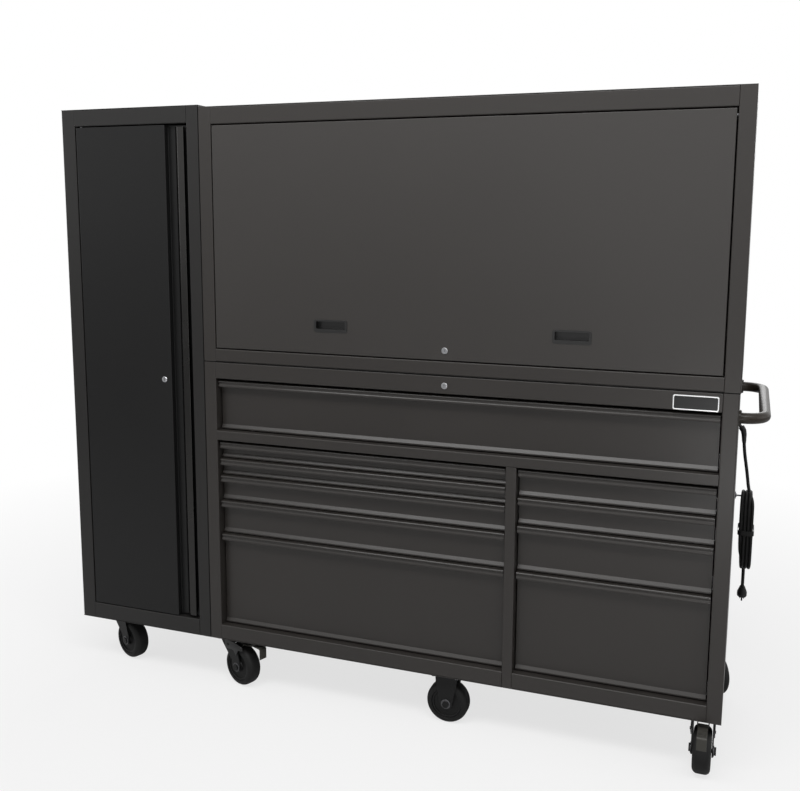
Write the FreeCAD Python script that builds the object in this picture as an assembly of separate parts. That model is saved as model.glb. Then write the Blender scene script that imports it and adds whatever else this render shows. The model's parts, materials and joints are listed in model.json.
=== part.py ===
"""Rolling tool storage: a ten-drawer roller cabinet with a hutch above it and a
tall locker at its side, all in folded sheet steel on eight casters.

Millimetres, +Z up.  While it is drawn, X runs right from the joint between the
locker and the cabinet, Y runs back from the front plane and Z runs up from the
underside of the bodies.  The finished part is moved to its own origin, the
centre of its footprint on the floor.
"""
import FreeCAD, Part
import math
import os

V = FreeCAD.Vector

# ---- sizes of the bodies -------------------------------------------------
SHEET = 1.5                 # body and door sheet
TRAY = 1.2                  # drawer tray sheet
BEND = 1.5                  # inner radius of a fold
DEPTH = 610.0               # cabinet and locker, front to back
CAB_W = 1549.0
CAB_H = 892.0
POST = 40.0                 # width of the corner posts
LEFT_BAY = 911.0            # opening of the left column of drawers
CENTRE_W = 30.0
TOP_RAIL = 52.0
WIDE_BAY = 162.5            # opening of the wide drawer
MID_RAIL = 30.0
BOTTOM_RAIL = 47.5
RAIL_RETURN = 25.0          # how far the rails' edges turn back
POST_RETURN = 70.0          # how far the posts' edges turn back
REAR_RETURN = 70.0          # the rear posts' edges, from the back of the cabinet

HUTCH_OVER = 3.0            # hutch past the cabinet's right side
HUTCH_H = 757.0
HUTCH_DEPTH = 510.0
HUTCH_POST = 42.0
HUTCH_SILL_H = 39.5
HUTCH_HEAD_H = 51.5
HUTCH_REAR_RETURN = 40.0

LOCKER_W = 490.0
LOCKER_H = 1655.0
LOCKER_POST_LEFT = 48.0
LOCKER_POST_RIGHT = 41.0
LOCKER_SILL = 52.5
LOCKER_HEAD_H = 51.5
LOCKER_REAR_RETURN = 35.0
SHELF_HEIGHTS = (430.0, 820.0, 1210.0)
SHELF_SHORT = 2.0           # shelves stop short of the rear posts

# ---- drawers and their slides ----------------------------------------------
DRAWER_GAP = 3.0            # between one drawer and the next
SIDE_GAP = 3.5              # between a drawer front or door and its post
HEAD_GAP = 6.5              # above the top drawer of each bay
ROW = 26.85                 # one unit of drawer height
LEFT_UNITS = (2, 2, 3, 4)   # the last drawer of a column takes what is left
RIGHT_UNITS = (3, 3, 5)
FACE_Y = 30.0               # drawer faces stand back from the posts
FACE_DEPTH = 16.0
PULL_Y = 9.0                # front of the pulls
PULL_H = 21.5
LIP_H = 13.0                # flared strip along the foot of each face
LIP_OUT = 6.0
TRAY_SHORT = 50.0           # tray back from the back of the cabinet
TRAY_DROP = 10.0            # tray rim below the top of the face
TRAY_LIFT = 5.0
SLIDE_W = 12.7
SLIDE_H = 36.0
SLIDE_T = 1.5
SLIDE_GAP = 0.3
SLIDE_PAST = 2.0            # slides past the tray back

# ---- doors, locks and struts ----------------------------------------------
DOOR_DEPTH = 22.0
PIN_R = 4.0
PIN_BORE = 4.05
PIN_IN = 15.5               # pivot from the hinged edge of a door
PIN_DEEP = 9.0              # pivot behind the face of a door
LOCK_R = 8.0
LOCK_BORE = 8.1
LOCK_FACE_R = 9.0
CAB_CAM_Y = 18.0
HUTCH_CAM_Y = 26.5
LOCKER_CAM_Y = 32.0
CAM_T = 2.0
CAM_PAST = 4.0              # a cam's grip behind its rail or post
LOCK_LEFT = 3.5             # front locks left of the cabinet's middle
CAB_LOCK_DOWN = 29.0        # below the cabinet top
HUTCH_LOCK_UP = 30.5        # above the sill
LOCKER_LOCK_IN = 25.0       # from the step of the locker door
LOCKER_LOCK_Z = 826.0
CAB_CAM = 16.0
CUP_APART = 698.0
CUP_LEFT = 1.0              # pair of recessed pulls left of the cabinet's middle
CUP_UP = 86.5               # above the sill
CUP_W = 95.0
CUP_H = 26.0
CUP_DEPTH = 19.0
BEZEL_W = 104.0
BEZEL_UP = 16.0
BEZEL_DOWN = 20.0
STRUT_IN = 14.0             # strut centre plane from the post face
STRUT_W = 8.0
STRUT_DOWN = 190.0          # door end of a strut below the pivot
STRUT_BEHIND = 20.0
STRUT_CASE_BACK = 39.0      # case end of a strut behind the pivot
STRUT_CASE_DOWN = 6.0       # and below it
TUBE_SHORT = 48.0           # tube from the door end of a strut
ROD_START = 76.0            # inner end of the rod from the case end
TUBE_R = 8.0
ROD_R = 3.6
ROD_BORE = 3.68
LOCKER_STEP_IN = 76.0       # where the locker door steps back, from the right post
LOCKER_CHANNEL_Y = 20.0
LOCKER_PULL_W = 35.0
LOCKER_PULL_IN = 12.0       # pull from the right post
LOCKER_EDGE_IN = 7.5        # edge of the channel from the right post

# ---- push handle ------------------------------------------------------------
HANDLE_DOWN = 71.0          # below the cabinet top
HANDLE_IN = 50.0            # from the front and the back
HANDLE_OUT = 64.0
HANDLE_R = 14.3
HANDLE_BEND = 52.0
FLANGE_R = 21.0
FLANGE_T = 5.0

# ---- casters ----------------------------------------------------------------
CASTER_H = 160.0
WHEEL_R = 63.5
WHEEL_W = 48.0
TRAIL = 38.0
PLATE = 88.0
PLATE_T = 4.0
FORK_T = 4.0
RACE_R = 28.0
RACE_H = 8.0
KING_R = 8.0
AXLE_R = 6.0
BORE_GAP = 0.08             # running fit of a shaft in its hole
BOLT_AF = 13.0
BOLT_H = 5.0
BOLT_IN = 8.0
PEDAL_REACH = 135.0
PEDAL_W = 26.0
PEDAL_PIVOT = (50.0, -23.0)
PEDAL_SWING = 12.0

# ---- power lead --------------------------------------------------------------
CORD_R = 5.0
STRIP_L = 296.0
STRIP_T = 40.5
STRIP_H = 40.0
STRIP_IN = 19.0             # from the right post
STRIP_UP = 12.5             # above the middle rail
GLAND_IN = 23.5             # from the back panel
GLAND_R = 12.0
GLAND_OUT = 8.0
HANK_TOP = 495.0
HANK_FOOT = 250.0
HANK_T = 42.0
HANK_W = 74.0
HANK_OUT = 37.0             # from the cabinet's side
HANK_IN = 58.0              # from the cabinet's back

# ---- sizes that follow ---------------------------------------------------------
BACK_Y = DEPTH - SHEET
TOP_Z = CAB_H - SHEET
OPEN_L = POST
OPEN_R = CAB_W - POST
CENTRE_X = OPEN_L + LEFT_BAY
BAY_R = CENTRE_X + CENTRE_W
TOP_RAIL_Z = CAB_H - TOP_RAIL
MID_RAIL_TOP = TOP_RAIL_Z - WIDE_BAY
MID_RAIL_Z = MID_RAIL_TOP - MID_RAIL
TRAY_BACK = DEPTH - TRAY_SHORT
SLIDE_BACK = TRAY_BACK + SLIDE_PAST
HUTCH_W = CAB_W + HUTCH_OVER
HUTCH_TOP = CAB_H + HUTCH_H
HUTCH_SILL = CAB_H + HUTCH_SILL_H
HUTCH_HEAD = HUTCH_TOP - HUTCH_HEAD_H
HUTCH_L = HUTCH_POST
HUTCH_R = HUTCH_W - HUTCH_POST
HINGE_Y = PIN_DEEP
HINGE_Z = HUTCH_HEAD - SIDE_GAP - PIN_IN - 0.5
LOCKER_L = -LOCKER_W + LOCKER_POST_LEFT
LOCKER_R = -LOCKER_POST_RIGHT
LOCKER_HEAD = LOCKER_H - LOCKER_HEAD_H
LOCKER_HINGE_X = LOCKER_L + SIDE_GAP + PIN_IN + 0.5
LOCKER_STEP_X = LOCKER_R - LOCKER_STEP_IN
LOCKER_CHANNEL_END = LOCKER_R - LOCKER_EDGE_IN
LOCKER_PULL_X = (LOCKER_R - LOCKER_PULL_IN - LOCKER_PULL_W, LOCKER_R - LOCKER_PULL_IN)
LOCKER_REAR_Y = DEPTH - LOCKER_REAR_RETURN
SHELF_BACK = LOCKER_REAR_Y - SHELF_SHORT

# ---- places that follow --------------------------------------------------------
MIDDLE = CAB_W / 2
CAB_LOCK = (MIDDLE - LOCK_LEFT, CAB_H - CAB_LOCK_DOWN)
HUTCH_LOCK = (MIDDLE - LOCK_LEFT, HUTCH_SILL + HUTCH_LOCK_UP)
LOCKER_LOCK = (LOCKER_STEP_X - LOCKER_LOCK_IN, LOCKER_LOCK_Z)
HUTCH_CAM = HUTCH_LOCK_UP + CAM_PAST
LOCKER_CAM = LOCKER_LOCK_IN + LOCKER_STEP_IN + CAM_PAST
CUP_X = (MIDDLE - CUP_LEFT - CUP_APART / 2, MIDDLE - CUP_LEFT + CUP_APART / 2)
CUP_Z = HUTCH_SILL + CUP_UP
STRUT_CASE = (HINGE_Y + STRUT_CASE_BACK, HINGE_Z - STRUT_CASE_DOWN)
HANDLE_Z = CAB_H - HANDLE_DOWN
HANDLE_Y = (HANDLE_IN, DEPTH - HANDLE_IN)
STRIP_X = (OPEN_R - STRIP_IN - STRIP_L, OPEN_R - STRIP_IN)
STRIP_Y = (BACK_Y - STRIP_T, BACK_Y)
STRIP_Z = (MID_RAIL_TOP + STRIP_UP, MID_RAIL_TOP + STRIP_UP + STRIP_H)
GLAND_Y = BACK_Y - GLAND_IN
GLAND_Z = STRIP_Z[0] + STRIP_H / 2
HANK_X = CAB_W + HANK_OUT
HANK_Y = DEPTH - HANK_IN
AXLE_Z = -(CASTER_H - WHEEL_R)
FORK_IN = WHEEL_W / 2 + 1.3
FORK_OUT = FORK_IN + FORK_T
CROWN_Z = -(PLATE_T + RACE_H + BORE_GAP)
# name, swivel axis X and Y, direction the wheel trails in, foot brake
SWIVELS = (
    ("locker_front", -LOCKER_W + 94.0, 101.0, -20.4, False),
    ("locker_rear", -LOCKER_W + 94.0, DEPTH - 98.0, 14.0, False),
    ("left_front", 54.0, 59.0, -20.4, True),
    ("left_rear", 56.0, DEPTH - 64.0, 24.0, False),
    ("right_front", CAB_W - 46.0, 75.0, -90.0, True),
    ("right_rear", CAB_W - 49.0, DEPTH - 62.0, -62.0, False),
)
RIGIDS = (
    ("centre_front", MIDDLE + 3.5, 56.0),
    ("centre_rear", MIDDLE + 3.5, DEPTH - 58.0),
)
X_LOW = -LOCKER_W
X_HIGH = CAB_W + HANDLE_OUT + HANDLE_R
Y_LOW = SWIVELS[4][2] - PEDAL_REACH
ORIGIN = V((X_LOW + X_HIGH) / 2, (Y_LOW + DEPTH) / 2, -CASTER_H)


def strut_ends():
    """Case eye, door eye at rest and door eye with the door fully up."""
    case = V(0, STRUT_CASE[0], STRUT_CASE[1])
    rest = V(0, HINGE_Y + STRUT_BEHIND, HINGE_Z - STRUT_DOWN)
    up = V(0, HINGE_Y - STRUT_DOWN, HINGE_Z - STRUT_BEHIND)
    return case, rest, up


def column(units, name, x0, x1):
    """Drawers of one column from the top down: name, sides, top and foot."""
    found = []
    top = MID_RAIL_Z - HEAD_GAP
    for number, unit in enumerate(units):
        foot = top - unit * ROW + DRAWER_GAP
        found.append(("%s_%d" % (name, number + 1), x0, x1, top, foot))
        top = foot - DRAWER_GAP
    foot = BOTTOM_RAIL + DRAWER_GAP
    found.append(("%s_%d" % (name, len(units) + 1), x0, x1, top, foot))
    return found


def drawer_table():
    wide = ("top", OPEN_L, OPEN_R, TOP_RAIL_Z - HEAD_GAP, MID_RAIL_TOP + DRAWER_GAP)
    left = column(LEFT_UNITS, "left", OPEN_L, CENTRE_X)
    right = column(RIGHT_UNITS, "right", BAY_R, OPEN_R)
    return [wide] + left + right


DRAWERS = drawer_table()


# ---- drawing tools ---------------------------------------------------------------
def on_plane(plane, u, v, w):
    if plane == "XY":
        return V(u, v, w)
    if plane == "YZ":
        return V(w, u, v)
    return V(u, w, v)


def across(plane, length):
    return on_plane(plane, 0, 0, length)


def box(x0, x1, y0, y1, z0, z1):
    return Part.makeBox(x1 - x0, y1 - y0, z1 - z0, V(x0, y0, z0))


def rod(radius, start, along):
    return Part.makeCylinder(radius, along.Length, start, along)


def rounded_corners(corners):
    """Edges of a closed outline; a corner is (u, v) or (u, v, radius)."""
    edges = []
    ends = []
    count = len(corners)
    for i in range(count):
        here = V(corners[i][0], corners[i][1], 0)
        radius = corners[i][2] if len(corners[i]) > 2 else 0
        if not radius:
            ends.append((here, None, here))
            continue
        last = corners[i - 1]
        following = corners[(i + 1) % count]
        back = (V(last[0], last[1], 0) - here).normalize()
        on = (V(following[0], following[1], 0) - here).normalize()
        half = back.getAngle(on) / 2
        middle = (back + on).normalize()
        reach = radius / math.tan(half)
        crest = here + middle * (radius / math.sin(half) - radius)
        ends.append((here + back * reach, crest, here + on * reach))
    for i in range(count):
        start, crest, end = ends[i]
        if crest is not None:
            edges.append(("arc", start, crest, end))
        onward = ends[(i + 1) % count][0]
        if end.distanceToPoint(onward) > 1e-6:
            edges.append(("line", end, onward))
    return edges


def lay(edge, plane, at):
    points = [on_plane(plane, p.x, p.y, at) for p in edge[1:]]
    if edge[0] == "arc":
        return Part.Arc(*points).toShape()
    return Part.makeLine(*points)


def profile(plane, at, corners, length):
    """Solid of constant section: a closed outline drawn at one end and run on."""
    edges = [lay(e, plane, at) for e in rounded_corners(corners)]
    return Part.Face(Part.Wire(edges)).extrude(across(plane, length))


def runs(plane, at, start, steps, length):
    """Solid from an outline of lines (u, v) and arcs (mid u, mid v, u, v)."""
    edges = []
    here = V(start[0], start[1], 0)
    for step in steps:
        end = V(step[-2], step[-1], 0)
        if len(step) == 4:
            edges.append(("arc", here, V(step[0], step[1], 0), end))
        else:
            edges.append(("line", here, end))
        here = end
    shaped = [lay(e, plane, at) for e in edges]
    return Part.Face(Part.Wire(shaped)).extrude(across(plane, length))


def fold_outline(path, t, bend):
    """Outline of folded sheet: path follows one face, the sheet lies to its left.

    A corner may carry its own inner radius as a third value.
    """
    points = [V(p[0], p[1], 0) for p in path]
    count = len(points)
    ways = [(points[i + 1] - points[i]).normalize() for i in range(count - 1)]
    lefts = [V(-w.y, w.x, 0) for w in ways]
    face = []
    other = []
    for i, point in enumerate(points):
        if i == 0 or i == count - 1:
            side = lefts[0] if i == 0 else lefts[-1]
            face.append((point.x, point.y))
            moved = point + side * t
            other.append((moved.x, moved.y))
            continue
        a = lefts[i - 1]
        b = lefts[i]
        moved = point + (a + b) * (t / (1 + a.dot(b)))
        turn = ways[i - 1].x * ways[i].y - ways[i - 1].y * ways[i].x
        tight = path[i][2] if len(path[i]) > 2 else bend
        wide = tight + t if tight else 0
        near = wide if turn > 0 else tight
        far = tight if turn > 0 else wide
        face.append((point.x, point.y, near))
        other.append((moved.x, moved.y, far))
    return face + other[::-1]


def folded(plane, at, length, path, t=SHEET, bend=BEND):
    return profile(plane, at, fold_outline(path, t, bend), length)


def mirrored(path, axis):
    return [(axis - p[0],) + tuple(p[1:]) for p in path][::-1]


def swept(points, radii, r):
    """Round bar along straight runs joined by tangent arcs."""
    edges = []
    here = points[0]
    for i in range(1, len(points) - 1):
        back = (points[i - 1] - points[i]).normalize()
        on = (points[i + 1] - points[i]).normalize()
        half = back.getAngle(on) / 2
        reach = radii[i - 1] / math.tan(half)
        middle = (back + on).normalize()
        start = points[i] + back * reach
        end = points[i] + on * reach
        crest = points[i] + middle * (radii[i - 1] / math.sin(half) - radii[i - 1])
        edges.append(Part.makeLine(here, start))
        edges.append(Part.Arc(start, crest, end).toShape())
        here = end
    edges.append(Part.makeLine(here, points[-1]))
    ring = Part.Wire(Part.makeCircle(r, points[0], points[1] - points[0]))
    pipe = Part.BRepOffsetAPI.MakePipeShell(Part.Wire(edges))
    pipe.add(ring)
    pipe.setTransitionMode(1)
    pipe.build()
    pipe.makeSolid()
    return pipe.shape()


def together(solids):
    return Part.makeCompound(solids)


# ---- bodies in folded sheet --------------------------------------------------------
def side_wall(x_out, x_in, z0, z1, back, front_return, rear_return):
    """Skin, front post, rear post and their returned edges, folded in one."""
    path = [(x_in, rear_return), (x_in, back, 0), (x_out, back, 0), (x_out, 0), (x_in, 0)]
    path.append((x_in, front_return))
    if x_in < x_out:
        path = path[::-1]
    return folded("XY", z0, z1 - z0, path)


def rail(x0, x1, z0, z1):
    """Channel across the front between two posts, open to the back."""
    path = [(RAIL_RETURN, z1), (0, z1), (0, z0), (RAIL_RETURN, z0)]
    return folded("YZ", x0, x1 - x0, path)


def cabinet_case():
    low = SHEET
    rear = DEPTH - REAR_RETURN
    left = side_wall(0, OPEN_L, low, TOP_Z, BACK_Y, POST_RETURN, rear)
    right = side_wall(CAB_W, OPEN_R, low, TOP_Z, BACK_Y, POST_RETURN, rear)
    lead = rod(CORD_R + 2.0, V(OPEN_R - 10, GLAND_Y, GLAND_Z), V(70, 0, 0))
    right = right.cut(lead)
    path = [(CENTRE_X, BACK_Y), (CENTRE_X, 0), (BAY_R, 0), (BAY_R, BACK_Y)]
    centre = folded("XY", low, MID_RAIL_Z - low, path)
    top = box(0, CAB_W, 0, BACK_Y, TOP_Z, CAB_H)
    floor = box(0, CAB_W, 0, BACK_Y, 0, SHEET)
    back = box(0, CAB_W, BACK_Y, DEPTH, 0, CAB_H)
    top_rail = rail(OPEN_L, OPEN_R, TOP_RAIL_Z, TOP_Z)
    lock_hole = rod(LOCK_BORE, V(CAB_LOCK[0], -5, CAB_LOCK[1]), V(0, 12, 0))
    top_rail = top_rail.cut(lock_hole)
    mid_rail = rail(OPEN_L, OPEN_R, MID_RAIL_Z, MID_RAIL_TOP)
    foot_left = rail(OPEN_L, CENTRE_X, SHEET, BOTTOM_RAIL)
    foot_right = rail(BAY_R, OPEN_R, SHEET, BOTTOM_RAIL)
    rails = [top_rail, mid_rail, foot_left, foot_right]
    return together([left, right, centre, top, floor, back] + rails)


def hutch_case():
    low = CAB_H + SHEET
    high = HUTCH_TOP - SHEET
    back_y = HUTCH_DEPTH - SHEET
    rear = HUTCH_DEPTH - HUTCH_REAR_RETURN
    left = side_wall(0, HUTCH_L, low, high, back_y, POST_RETURN, rear)
    right = side_wall(HUTCH_W, HUTCH_R, low, high, back_y, POST_RETURN, rear)
    pin_hole = rod(PIN_R, V(HUTCH_L - 5, HINGE_Y, HINGE_Z), V(10, 0, 0))
    left = left.cut(pin_hole)
    right = right.cut(pin_hole.translated(V(HUTCH_R - HUTCH_L, 0, 0)))
    top = box(0, HUTCH_W, 0, back_y, high, HUTCH_TOP)
    floor = box(0, HUTCH_W, 0, back_y, CAB_H, low)
    back = box(0, HUTCH_W, back_y, HUTCH_DEPTH, CAB_H, HUTCH_TOP)
    sill = rail(HUTCH_L, HUTCH_R, low, HUTCH_SILL)
    head = rail(HUTCH_L, HUTCH_R, HUTCH_HEAD, high)
    studs = []
    reach = STRUT_IN + STRUT_W / 2 + 1.5
    for x, way in ((HUTCH_L, 1), (HUTCH_R, -1)):
        start = V(x, STRUT_CASE[0], STRUT_CASE[1])
        studs.append(rod(ROD_R, start, V(way * reach, 0, 0)))
    return together([left, right, top, floor, back, sill, head] + studs)


def locker_case():
    high = LOCKER_H - SHEET
    rear = LOCKER_REAR_Y
    left = side_wall(-LOCKER_W, LOCKER_L, SHEET, high, BACK_Y, RAIL_RETURN, rear)
    right = side_wall(0, LOCKER_R, SHEET, high, BACK_Y, RAIL_RETURN, rear)
    top = box(-LOCKER_W, 0, 0, BACK_Y, high, LOCKER_H)
    floor = box(-LOCKER_W, 0, 0, BACK_Y, 0, SHEET)
    back = box(-LOCKER_W, 0, BACK_Y, DEPTH, 0, LOCKER_H)
    sill = rail(LOCKER_L, LOCKER_R, SHEET, LOCKER_SILL)
    head = rail(LOCKER_L, LOCKER_R, LOCKER_HEAD, high)
    pin = rod(PIN_R, V(LOCKER_HINGE_X, HINGE_Y, LOCKER_SILL - 5), V(0, 0, 10))
    sill = sill.cut(pin)
    head = head.cut(pin.translated(V(0, 0, LOCKER_HEAD - LOCKER_SILL)))
    return together([left, right, top, floor, back, sill, head])


def locker_shelves():
    """Shelves folded down at the front and up at the back, wall to wall."""
    front = RAIL_RETURN + 20.0
    shelves = []
    for z in SHELF_HEIGHTS:
        path = [(front + 14, z - 25), (front, z - 25, 0), (front, z)]
        path += [(SHELF_BACK, z, 0), (SHELF_BACK, z + 18)]
        outline = fold_outline(path, SHEET, BEND)
        width = LOCKER_W - 2 * SHEET
        shelves.append(profile("YZ", -LOCKER_W + SHEET, outline, width))
    return together(shelves)


# ---- drawers -------------------------------------------------------------------------
def slide_centre(foot):
    return foot + TRAY_LIFT + SLIDE_H / 2


def slide_member(kind, x0, x1, foot):
    """One member of the telescopic slide at each side of a drawer."""
    half = SLIDE_H / 2
    z = slide_centre(foot)
    t = SLIDE_T
    mid = half - t - SLIDE_GAP
    inner = mid - t - SLIDE_GAP
    far = SLIDE_W - t - 0.2
    if kind == "outer":
        path = [(9, z + half), (0, z + half), (0, z - half), (9, z - half)]
    elif kind == "middle":
        path = [(far, z + mid), (4, z + mid), (4, z - mid), (far, z - mid)]
    else:
        path = [(6, z - inner), (SLIDE_W, z - inner)]
        path += [(SLIDE_W, z + inner), (6, z + inner)]
    start = FACE_Y + FACE_DEPTH + TRAY + 0.8
    length = SLIDE_BACK - start
    left = [(x0 + s, v) for s, v in path]
    both = [left, mirrored(left, x0 + x1)]
    return [folded("XZ", start, length, p, t, 0) for p in both]


def pull_section(top):
    """Outline steps of the long pull: nose, hollow, bead and finger hook."""
    y = PULL_Y
    b = FACE_Y
    start = (b, top - 14)
    steps = [(b, top), (y + 6, top)]
    steps.append((y + 1.8, top - 1.8, y, top - 6))
    steps.append((y + 2.6, top - 10.5, y + 1.5, top - 15))
    steps.append((y + 0.7, top - 17.8, y + 1.5, top - 20.5))
    steps.append((y + 2.4, top - PULL_H, y + 3.4, top - 20.7))
    steps.append((y + 3.6, top - 16))
    steps.append((y + 4.8, top - 10.5, y + 2.6, top - 6))
    steps.append((y + 3.6, top - 3.4, y + 6.3, top - 2.2))
    steps += [(b - 1.8, top - 2.2), (b - 1.8, top - 14), start]
    return start, steps


def drawer_face(x0, x1, top, foot):
    """Sheet front with its top turned back and a flared strip at its foot."""
    back = FACE_Y + FACE_DEPTH
    lip = FACE_Y - LIP_OUT
    path = [(back, top), (FACE_Y, top), (FACE_Y, foot + LIP_H)]
    path += [(lip, foot + 4), (lip, foot), (back, foot)]
    face = folded("YZ", x0, x1 - x0, path, SHEET, 0)
    ends = []
    for x in (x0, x1 - SHEET):
        y0 = FACE_Y + SHEET
        ends.append(box(x, x + SHEET, y0, back, foot + SHEET, top - SHEET))
    return [face] + ends


def drawer_tray(x0, x1, top, foot):
    """Folded floor and sides, with a front and a back between the slides."""
    front = FACE_Y + FACE_DEPTH
    rim = top - TRAY_DROP
    base = foot + TRAY_LIFT
    path = [(x0, rim), (x0, base), (x1, base), (x1, rim)]
    trough = folded("XZ", front + TRAY, TRAY_BACK - front - 2 * TRAY, path, TRAY, 0)
    near = box(x0, x1, front, front + TRAY, foot, top)
    far = box(x0, x1, TRAY_BACK - TRAY, TRAY_BACK, base, rim)
    return [trough, near, far]


def drawer(x0, x1, top, foot):
    left = x0 + SIDE_GAP
    right = x1 - SIDE_GAP
    solids = drawer_tray(x0 + SLIDE_W, x1 - SLIDE_W, top, foot)
    solids += drawer_face(left, right, top, foot)
    start, steps = pull_section(top)
    solids.append(runs("YZ", left, start, steps, right - left))
    solids += slide_member("inner", x0, x1, foot)
    return together(solids)


# ---- doors -----------------------------------------------------------------------------
def pan(x0, x1, z0, z1, y, depth, t, soft):
    """Pressed pan open to the back, its front edges rounded."""
    outer = box(x0, x1, y, y + depth, z0, z1)
    front = []
    for edge in outer.Edges:
        if max(v.Y for v in edge.Vertexes) < y + 1e-3:
            front.append(edge)
    outer = outer.makeFillet(soft, front)
    return outer.cut(box(x0 + t, x1 - t, y + t, y + depth + 1, z0 + t, z1 - t))


def cup_hole(x, grow):
    """Opening of a recessed pull, rounded at its corners."""
    w = CUP_W / 2 + grow
    h = CUP_H / 2 + grow
    r = 4.0 + grow
    corners = [(x - w, CUP_Z - h, r), (x + w, CUP_Z - h, r)]
    corners += [(x + w, CUP_Z + h, r), (x - w, CUP_Z + h, r)]
    return corners


def hutch_door():
    x0 = HUTCH_L + SIDE_GAP
    x1 = HUTCH_R - SIDE_GAP
    z0 = HUTCH_SILL + SIDE_GAP
    z1 = HUTCH_HEAD - SIDE_GAP
    door = pan(x0, x1, z0, z1, 0, DOOR_DEPTH, SHEET, 1.4)
    for x in CUP_X:
        door = door.cut(profile("XZ", -1, cup_hole(x, 0), 4))
    door = door.cut(rod(LOCK_BORE, V(HUTCH_LOCK[0], -5, HUTCH_LOCK[1]), V(0, 12, 0)))
    bore = rod(PIN_BORE, V(x0 - 1, HINGE_Y, HINGE_Z), V(8, 0, 0))
    door = door.cut(bore)
    door = door.cut(bore.translated(V(x1 - x0 - 6, 0, 0)))
    slot = HUTCH_L + STRUT_IN + TUBE_R + 3 - x0 - SHEET
    for x in (x0 + SHEET, x1 - SHEET - slot):
        notch = box(x, x + slot, PIN_DEEP - 2.5, DOOR_DEPTH + 1, z1 - 5, z1 + 1)
        door = door.cut(notch)
    return together([door] + strut_brackets())


def strut_brackets():
    """Plates on the back of the door, one beside the eye of each strut rod."""
    y = HINGE_Y + STRUT_BEHIND
    z = HINGE_Z - STRUT_DOWN
    plates = []
    gap = STRUT_IN + STRUT_W / 2 + SLIDE_GAP
    for x in (HUTCH_L + gap, HUTCH_R - gap - 2.0):
        corners = [(SHEET, z - 16), (y + 8, z - 8, 7), (y + 8, z + 8, 7), (SHEET, z + 16)]
        plates.append(profile("YZ", x, corners, 2.0))
    return plates


def door_pulls():
    """Recessed pulls: a bezel on the door face with a cup behind the opening."""
    cups = []
    for x in CUP_X:
        w = BEZEL_W / 2
        low = CUP_Z - BEZEL_DOWN
        high = CUP_Z + BEZEL_UP
        corners = [(x - w, low, 6), (x + w, low, 6), (x + w, high, 6), (x - w, high, 6)]
        bezel = profile("XZ", -2.0, corners, 2.0)
        body = profile("XZ", 0, cup_hole(x, -0.2), CUP_DEPTH)
        hollow = profile("XZ", -3, cup_hole(x, -2.0), CUP_DEPTH + 1)
        cups.append(bezel.fuse(body).cut(hollow).removeSplitter())
    return together(cups)


def locker_door():
    z0 = LOCKER_SILL + SIDE_GAP
    z1 = LOCKER_HEAD - SIDE_GAP
    left = LOCKER_L + SIDE_GAP
    channel = LOCKER_CHANNEL_Y
    path = [(left, DOOR_DEPTH), (left, 0), (LOCKER_STEP_X, 0)]
    path += [(LOCKER_STEP_X, channel), (LOCKER_CHANNEL_END, channel)]
    path.append((LOCKER_CHANNEL_END, channel + 4))
    door = folded("XY", z0, z1 - z0, path)
    x, z = LOCKER_LOCK
    door = door.cut(rod(LOCK_BORE, V(x, -5, z), V(0, 12, 0)))
    bore = rod(PIN_BORE, V(LOCKER_HINGE_X, HINGE_Y, z0 - 2), V(0, 0, 6))
    caps = []
    for low in (z0, z1 - SHEET):
        cap = box(left + SHEET, LOCKER_STEP_X - SHEET, SHEET, DOOR_DEPTH, low, low + SHEET)
        caps.append(cap.cut(bore.translated(V(0, 0, low - z0))))
    return together([door] + caps)


def locker_door_pull():
    """Full-height hooked pull standing in the door's channel, mouth to the right."""
    a, b = LOCKER_PULL_X
    y = LOCKER_CHANNEL_Y
    corners = [(a, y), (a, y - 6, 4), (a + 12, y - 16, 10), (b, y - 18, 2.5)]
    corners += [(b, y - 9.5, 1.2), (b - 2.5, y - 9.5, 1.2), (b - 2.5, y - 15, 1.8)]
    corners += [(a + 14, y - 13, 7), (a + 5, y - 4, 2), (a + 5, y)]
    z0 = LOCKER_SILL + SIDE_GAP + 6
    z1 = LOCKER_HEAD - SIDE_GAP - 6
    return profile("XY", z0, corners, z1 - z0)


def hinge_pins():
    """Pivot pins of both doors, held in the posts and rails beside them."""
    pins = []
    for x in (HUTCH_L - SHEET - 2, HUTCH_R - SIDE_GAP - SHEET - 2):
        length = SIDE_GAP + 2 * SHEET + 4
        pins.append(rod(PIN_R, V(x, HINGE_Y, HINGE_Z), V(length, 0, 0)))
    for z in (LOCKER_SILL - SHEET - 2, LOCKER_HEAD - SIDE_GAP - SHEET - 2):
        length = SIDE_GAP + 2 * SHEET + 4
        pins.append(rod(PIN_R, V(LOCKER_HINGE_X, HINGE_Y, z), V(0, 0, length)))
    return together(pins)


def lock(place, reach, way, cam_y):
    """Cam lock: round face with a key slot, barrel, and a flat cam behind."""
    x, z = place
    face = Part.makeCylinder(LOCK_FACE_R, 3.0, V(x, -3.0, z), V(0, 1, 0))
    face = face.makeChamfer(0.8, [face.Edges[2]])
    barrel = rod(LOCK_R, V(x, 0, z), V(0, cam_y, 0))
    keyway = box(x - 0.9, x + 0.9, -4.0, 2.0, z - 4.5, z + 4.5)
    body = face.fuse(barrel).cut(keyway).removeSplitter()
    w = 7.0
    corners = [(x - w, z - w, 6), (x + w, z - w, 6)]
    corners += [(x + w, z + reach, 6), (x - w, z + reach, 6)]
    cam = profile("XZ", cam_y, corners, CAM_T)
    cam.rotate(V(x, 0, z), V(0, 1, 0), way)
    return together([body, cam])


# ---- struts ------------------------------------------------------------------------------
def strut_planes():
    return (HUTCH_L + STRUT_IN, HUTCH_R - STRUT_IN)


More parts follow.
